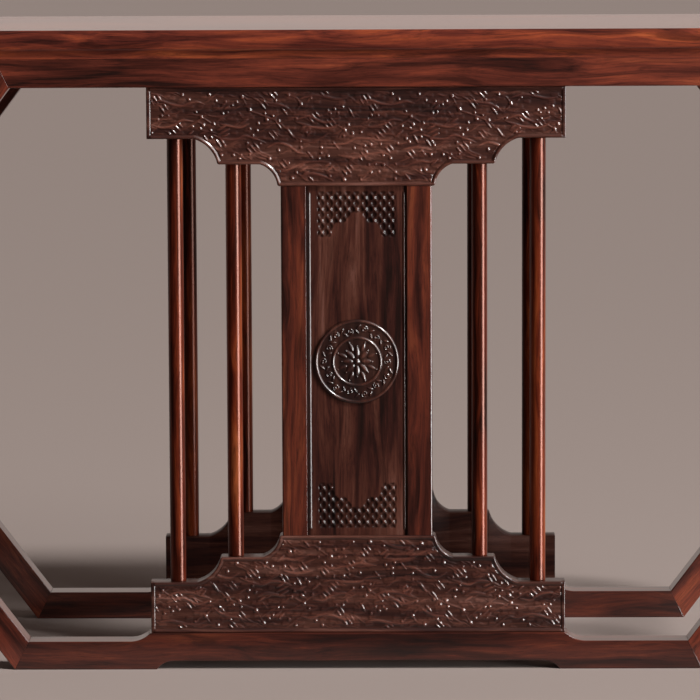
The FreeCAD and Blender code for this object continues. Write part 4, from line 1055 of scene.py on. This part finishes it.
# The roundel's own ornament, in the square around it: a leaf scroll in the band and a lotus of two rings
# of petals inside. Each stroke is laid out as run along and rise across, and bent round:
# x = middle + (r + rise) cos(a), with a = start + run / r.
def roundelField():
    reach, cell, radius = roundel["radius"], roundel["cell"], roundel["bandMiddle"]
    field = np.zeros((round(2 * reach / cell) + 1, round(2 * reach / cell) + 1))
    share = np.linspace(0, 1, roundel["strokeSteps"])
    curlWidths = np.linspace(*roundel["curlWidths"], roundel["curlSteps"])
    leafWidth, leafHeight = roundel["leaf"]
    beyond, *dot = roundel["petalDot"]
    shapes = []
    for count in range(roundel["scrolls"]):
        start = 2 * math.pi * count / roundel["scrolls"]
        flip = 1 if count % 2 else -1
        size, turns, up = roundel["curl"]
        curl = curlLine((0, up * flip), size, math.pi / 2 * flip, turns * flip, roundel["curlSteps"])
        shapes.append((start, curl, curlWidths, roundel["curlHeight"]))
        for run, rise, turn in roundel["leaves"]:
            way = flatTurn(math.radians(turn * flip))[0]
            leaf = (share[:, None] - 0.5) * roundel["leafLength"] * way + (run, rise * flip)
            shapes.append((start, leaf, leafWidth * spindle(share, roundel["leafLeast"]), leafHeight))
    for ring, (near, far, width, height) in enumerate(roundel["petalRings"]):
        for count in range(roundel["petals"]):
            start = 2 * math.pi * (count + ring / 2) / roundel["petals"]
            petal = np.stack([share * 0, near + share * (far - near) - radius], axis=1)
            shapes.append((start, petal, width * spindle(share**0.8, 0.25, 0.8), height))
            shapes.append((start, np.array([(0.0, far + beyond - radius)]), *dot))
    shapes.append((0, np.array([(0.0, -radius)]), *roundel["heart"]))
    for start, line, widths, height in shapes:
        bent = pointsRound((reach, reach), radius + line[:, 1], start + line[:, 0] / radius)
        raiseStroke(field, cell, bent, widths, height)
    return field


# The roundel: circles from its middle outwards, raised by the ornament and by two rings, each
# height * (1 - (distance / half width)^round)
def roundelShape():
    rings, ringHalf, sides = np.array(roundel["rings"]), roundel["ringHalf"], roundel["sides"]
    turns = np.linspace(-roundel["ringTurn"], roundel["ringTurn"], roundel["ringSteps"])
    fine = np.concatenate([r + ringHalf * np.sin(turns) for r in rings])
    even = np.arange(roundel["firstCircle"], rings[0], roundel["step"])
    apart = np.abs(even[:, None] - rings).min(axis=1) > ringHalf + roundel["ringGap"]
    reach = np.sort(np.concatenate([even[apart], fine]))[:, None]
    angle = np.linspace(0, 2 * math.pi, sides, endpoint=False)
    x, up = reach * np.cos(angle), reach * np.sin(angle)
    across = np.abs(reach - rings).min(axis=1, keepdims=True) / ringHalf
    ring = roundel["ringHeight"] * (1 - np.clip(across, 0, 1) ** roundel["ringRound"])
    own = sampleField(roundelField(), roundel["cell"], x + roundel["radius"], up + roundel["radius"])
    height = np.maximum(ring, own * (across > 1))
    y = np.vstack([roundel["ground"] - height, np.full((1, sides), roundel["back"])])
    x, up = np.vstack([x, x[-1]]), np.vstack([up, up[-1]]) + roundel["middle"]
    return ringTube(np.stack([x, y, up], axis=-1)), np.vstack([height / fullPolish, np.zeros((1, sides))])


roundelSurface, roundelHeights = roundelShape()
for row in ("front", "rear"):
    shape = turnAbout(roundelSurface, row)
    makePiece(f"{row}_roundel", roundelWood, shape, sharpAngle=60, carved=roundelHeights)
print("centre panels and roundels made")


# A matt painted studio floor, without any pattern of its own
def paintedFloor():
    finish = {"Base Color": hexColour("#90837d"), "Roughness": 0.9, "Specular IOR Level": 0.1}
    return newSurface("paintedFloor", finish)[0]


studio = {
    "reach": 70,  # how far the floor goes on
    "mirrorEdge": -0.45,  # in front of this the polish mirrors a dark room, and not the floor
    "backdropColour": "#b9aaa3",
    "ambient": 0.33,  # how much of the backdrop's colour lights the object
    "darkRoom": 0.06,  # what the polish mirrors of the room in front
    "aim": (0, -0.25, 0.7),  # what the lights point at
}
floorPaint = paintedFloor()
for name, front, rear in (
    ("floorBelow", studio["mirrorEdge"], studio["reach"]),
    ("floorInFront", -studio["reach"], studio["mirrorEdge"]),
):
    plan = ((-1, front), (1, front), (1, rear), (-1, rear))
    corners = [(studio["reach"] * side, edge, 0) for side, edge in plan]
    floorMesh = bpy.data.meshes.new(name)
    floorMesh.from_pydata(corners, [], [(0, 1, 2, 3)])
    floorMesh.materials.append(floorPaint)
    floor = bpy.data.objects.new(name, floorMesh)
    floor.visible_glossy = name == "floorBelow"
    bpy.context.scene.collection.objects.link(floor)


# The studio round the table: a pale backdrop as the camera sees it, and as the polish mirrors it behind
# the table. The room in front is dark, and the backdrop lights the object only dimly.
def studioWorld():
    world = bpy.data.worlds.new("studioWorld")
    world.use_nodes = True
    tree = world.node_tree
    tree.nodes.clear()
    seen = addNode(tree, "LightPath").outputs
    way = addNode(tree, "TexCoord").outputs["Generated"]
    depth = addNode(tree, "SeparateXYZ", inputs={"Vector": way}).outputs["Y"]
    pale = {"Value": depth, "From Max": 0.5, "To Min": studio["darkRoom"]}
    behind = addNode(tree, "MapRange", inputs=pale).outputs["Result"]
    greater = {"operation": "MAXIMUM"}
    polish = {0: seen["Is Glossy Ray"], 1: seen["Is Transmission Ray"]}
    mirrored = addNode(tree, "Math", greater, polish).outputs[0]
    dimmed = {0: mirrored, 2: studio["ambient"], 3: behind}
    level = addNode(tree, "Mix", {"data_type": "FLOAT"}, dimmed).outputs[0]
    strength = addNode(tree, "Math", greater, {0: seen["Is Camera Ray"], 1: level}).outputs[0]
    backdrop = {"Color": hexColour(studio["backdropColour"]), "Strength": strength}
    background = addNode(tree, "Background", inputs=backdrop).outputs[0]
    addNode(tree, "OutputWorld", inputs={"Surface": background})
    return world


bpy.context.scene.world = studioWorld()


# A light, turned so that it shines from its place towards the aim, on the table's front
def addLight(name, place, settings):
    light = bpy.data.lights.new(name, settings["type"])
    for key, value in settings.items():
        setattr(light, key, value)
    lamp = bpy.data.objects.new(name, light)
    way = unit(np.subtract(studio["aim"], place))
    sideways = unit(np.cross(way, (0, 0, 1)))
    turn = np.stack([sideways, np.cross(sideways, way), -way], axis=1)
    lamp.matrix_world = Matrix.Translation(place) @ Matrix(turn.tolist()).to_4x4()
    bpy.context.scene.collection.objects.link(lamp)


window = {"type": "AREA", "shape": "RECTANGLE"}
lights = {
    "keyLight": ((6.2, -4.2, 7.6), {"type": "SUN", "energy": 3.8, "angle": math.radians(10)}),
    "tallWindow": ((6.2, -3.85, 3.1), window | {"energy": 400, "size": 2, "size_y": 4.5}),
    # The low window reaches below the floor, which hides that part from all but the polish. There it
    # gives the gloss that comes up from the floor.
    "lowWindow": (
        (4.2, -2.65, 0),
        window | {"energy": 60, "size": 1.9, "size_y": 2.1, "spread": math.radians(70)},
    ),
}
for name, (place, settings) in lights.items():
    addLight(name, place, settings)

# The photograph's view: lens, place, and turns in degrees
viewpoint = {"lens": 221.95, "place": (0.0728, -7.2988, 1.3963), "down": 6.983, "left": 0.683, "roll": 0.253}
camera = bpy.data.cameras.new("viewCamera")
camera.sensor_width = 36
camera.lens = viewpoint["lens"]
camera.clip_end = 200
cameraObject = bpy.data.objects.new("viewCamera", camera)
bpy.context.scene.collection.objects.link(cameraObject)
cameraObject.matrix_world = (
    Matrix.Translation(viewpoint["place"])
    @ Matrix.Rotation(math.radians(viewpoint["left"]), 4, "Z")
    @ Matrix.Rotation(math.radians(90 - viewpoint["down"]), 4, "X")
    @ Matrix.Rotation(math.radians(-viewpoint["roll"]), 4, "Z")
)
bpy.context.scene.camera = cameraObject
bpy.context.scene.view_settings.view_transform = "Standard"
print("studio made")
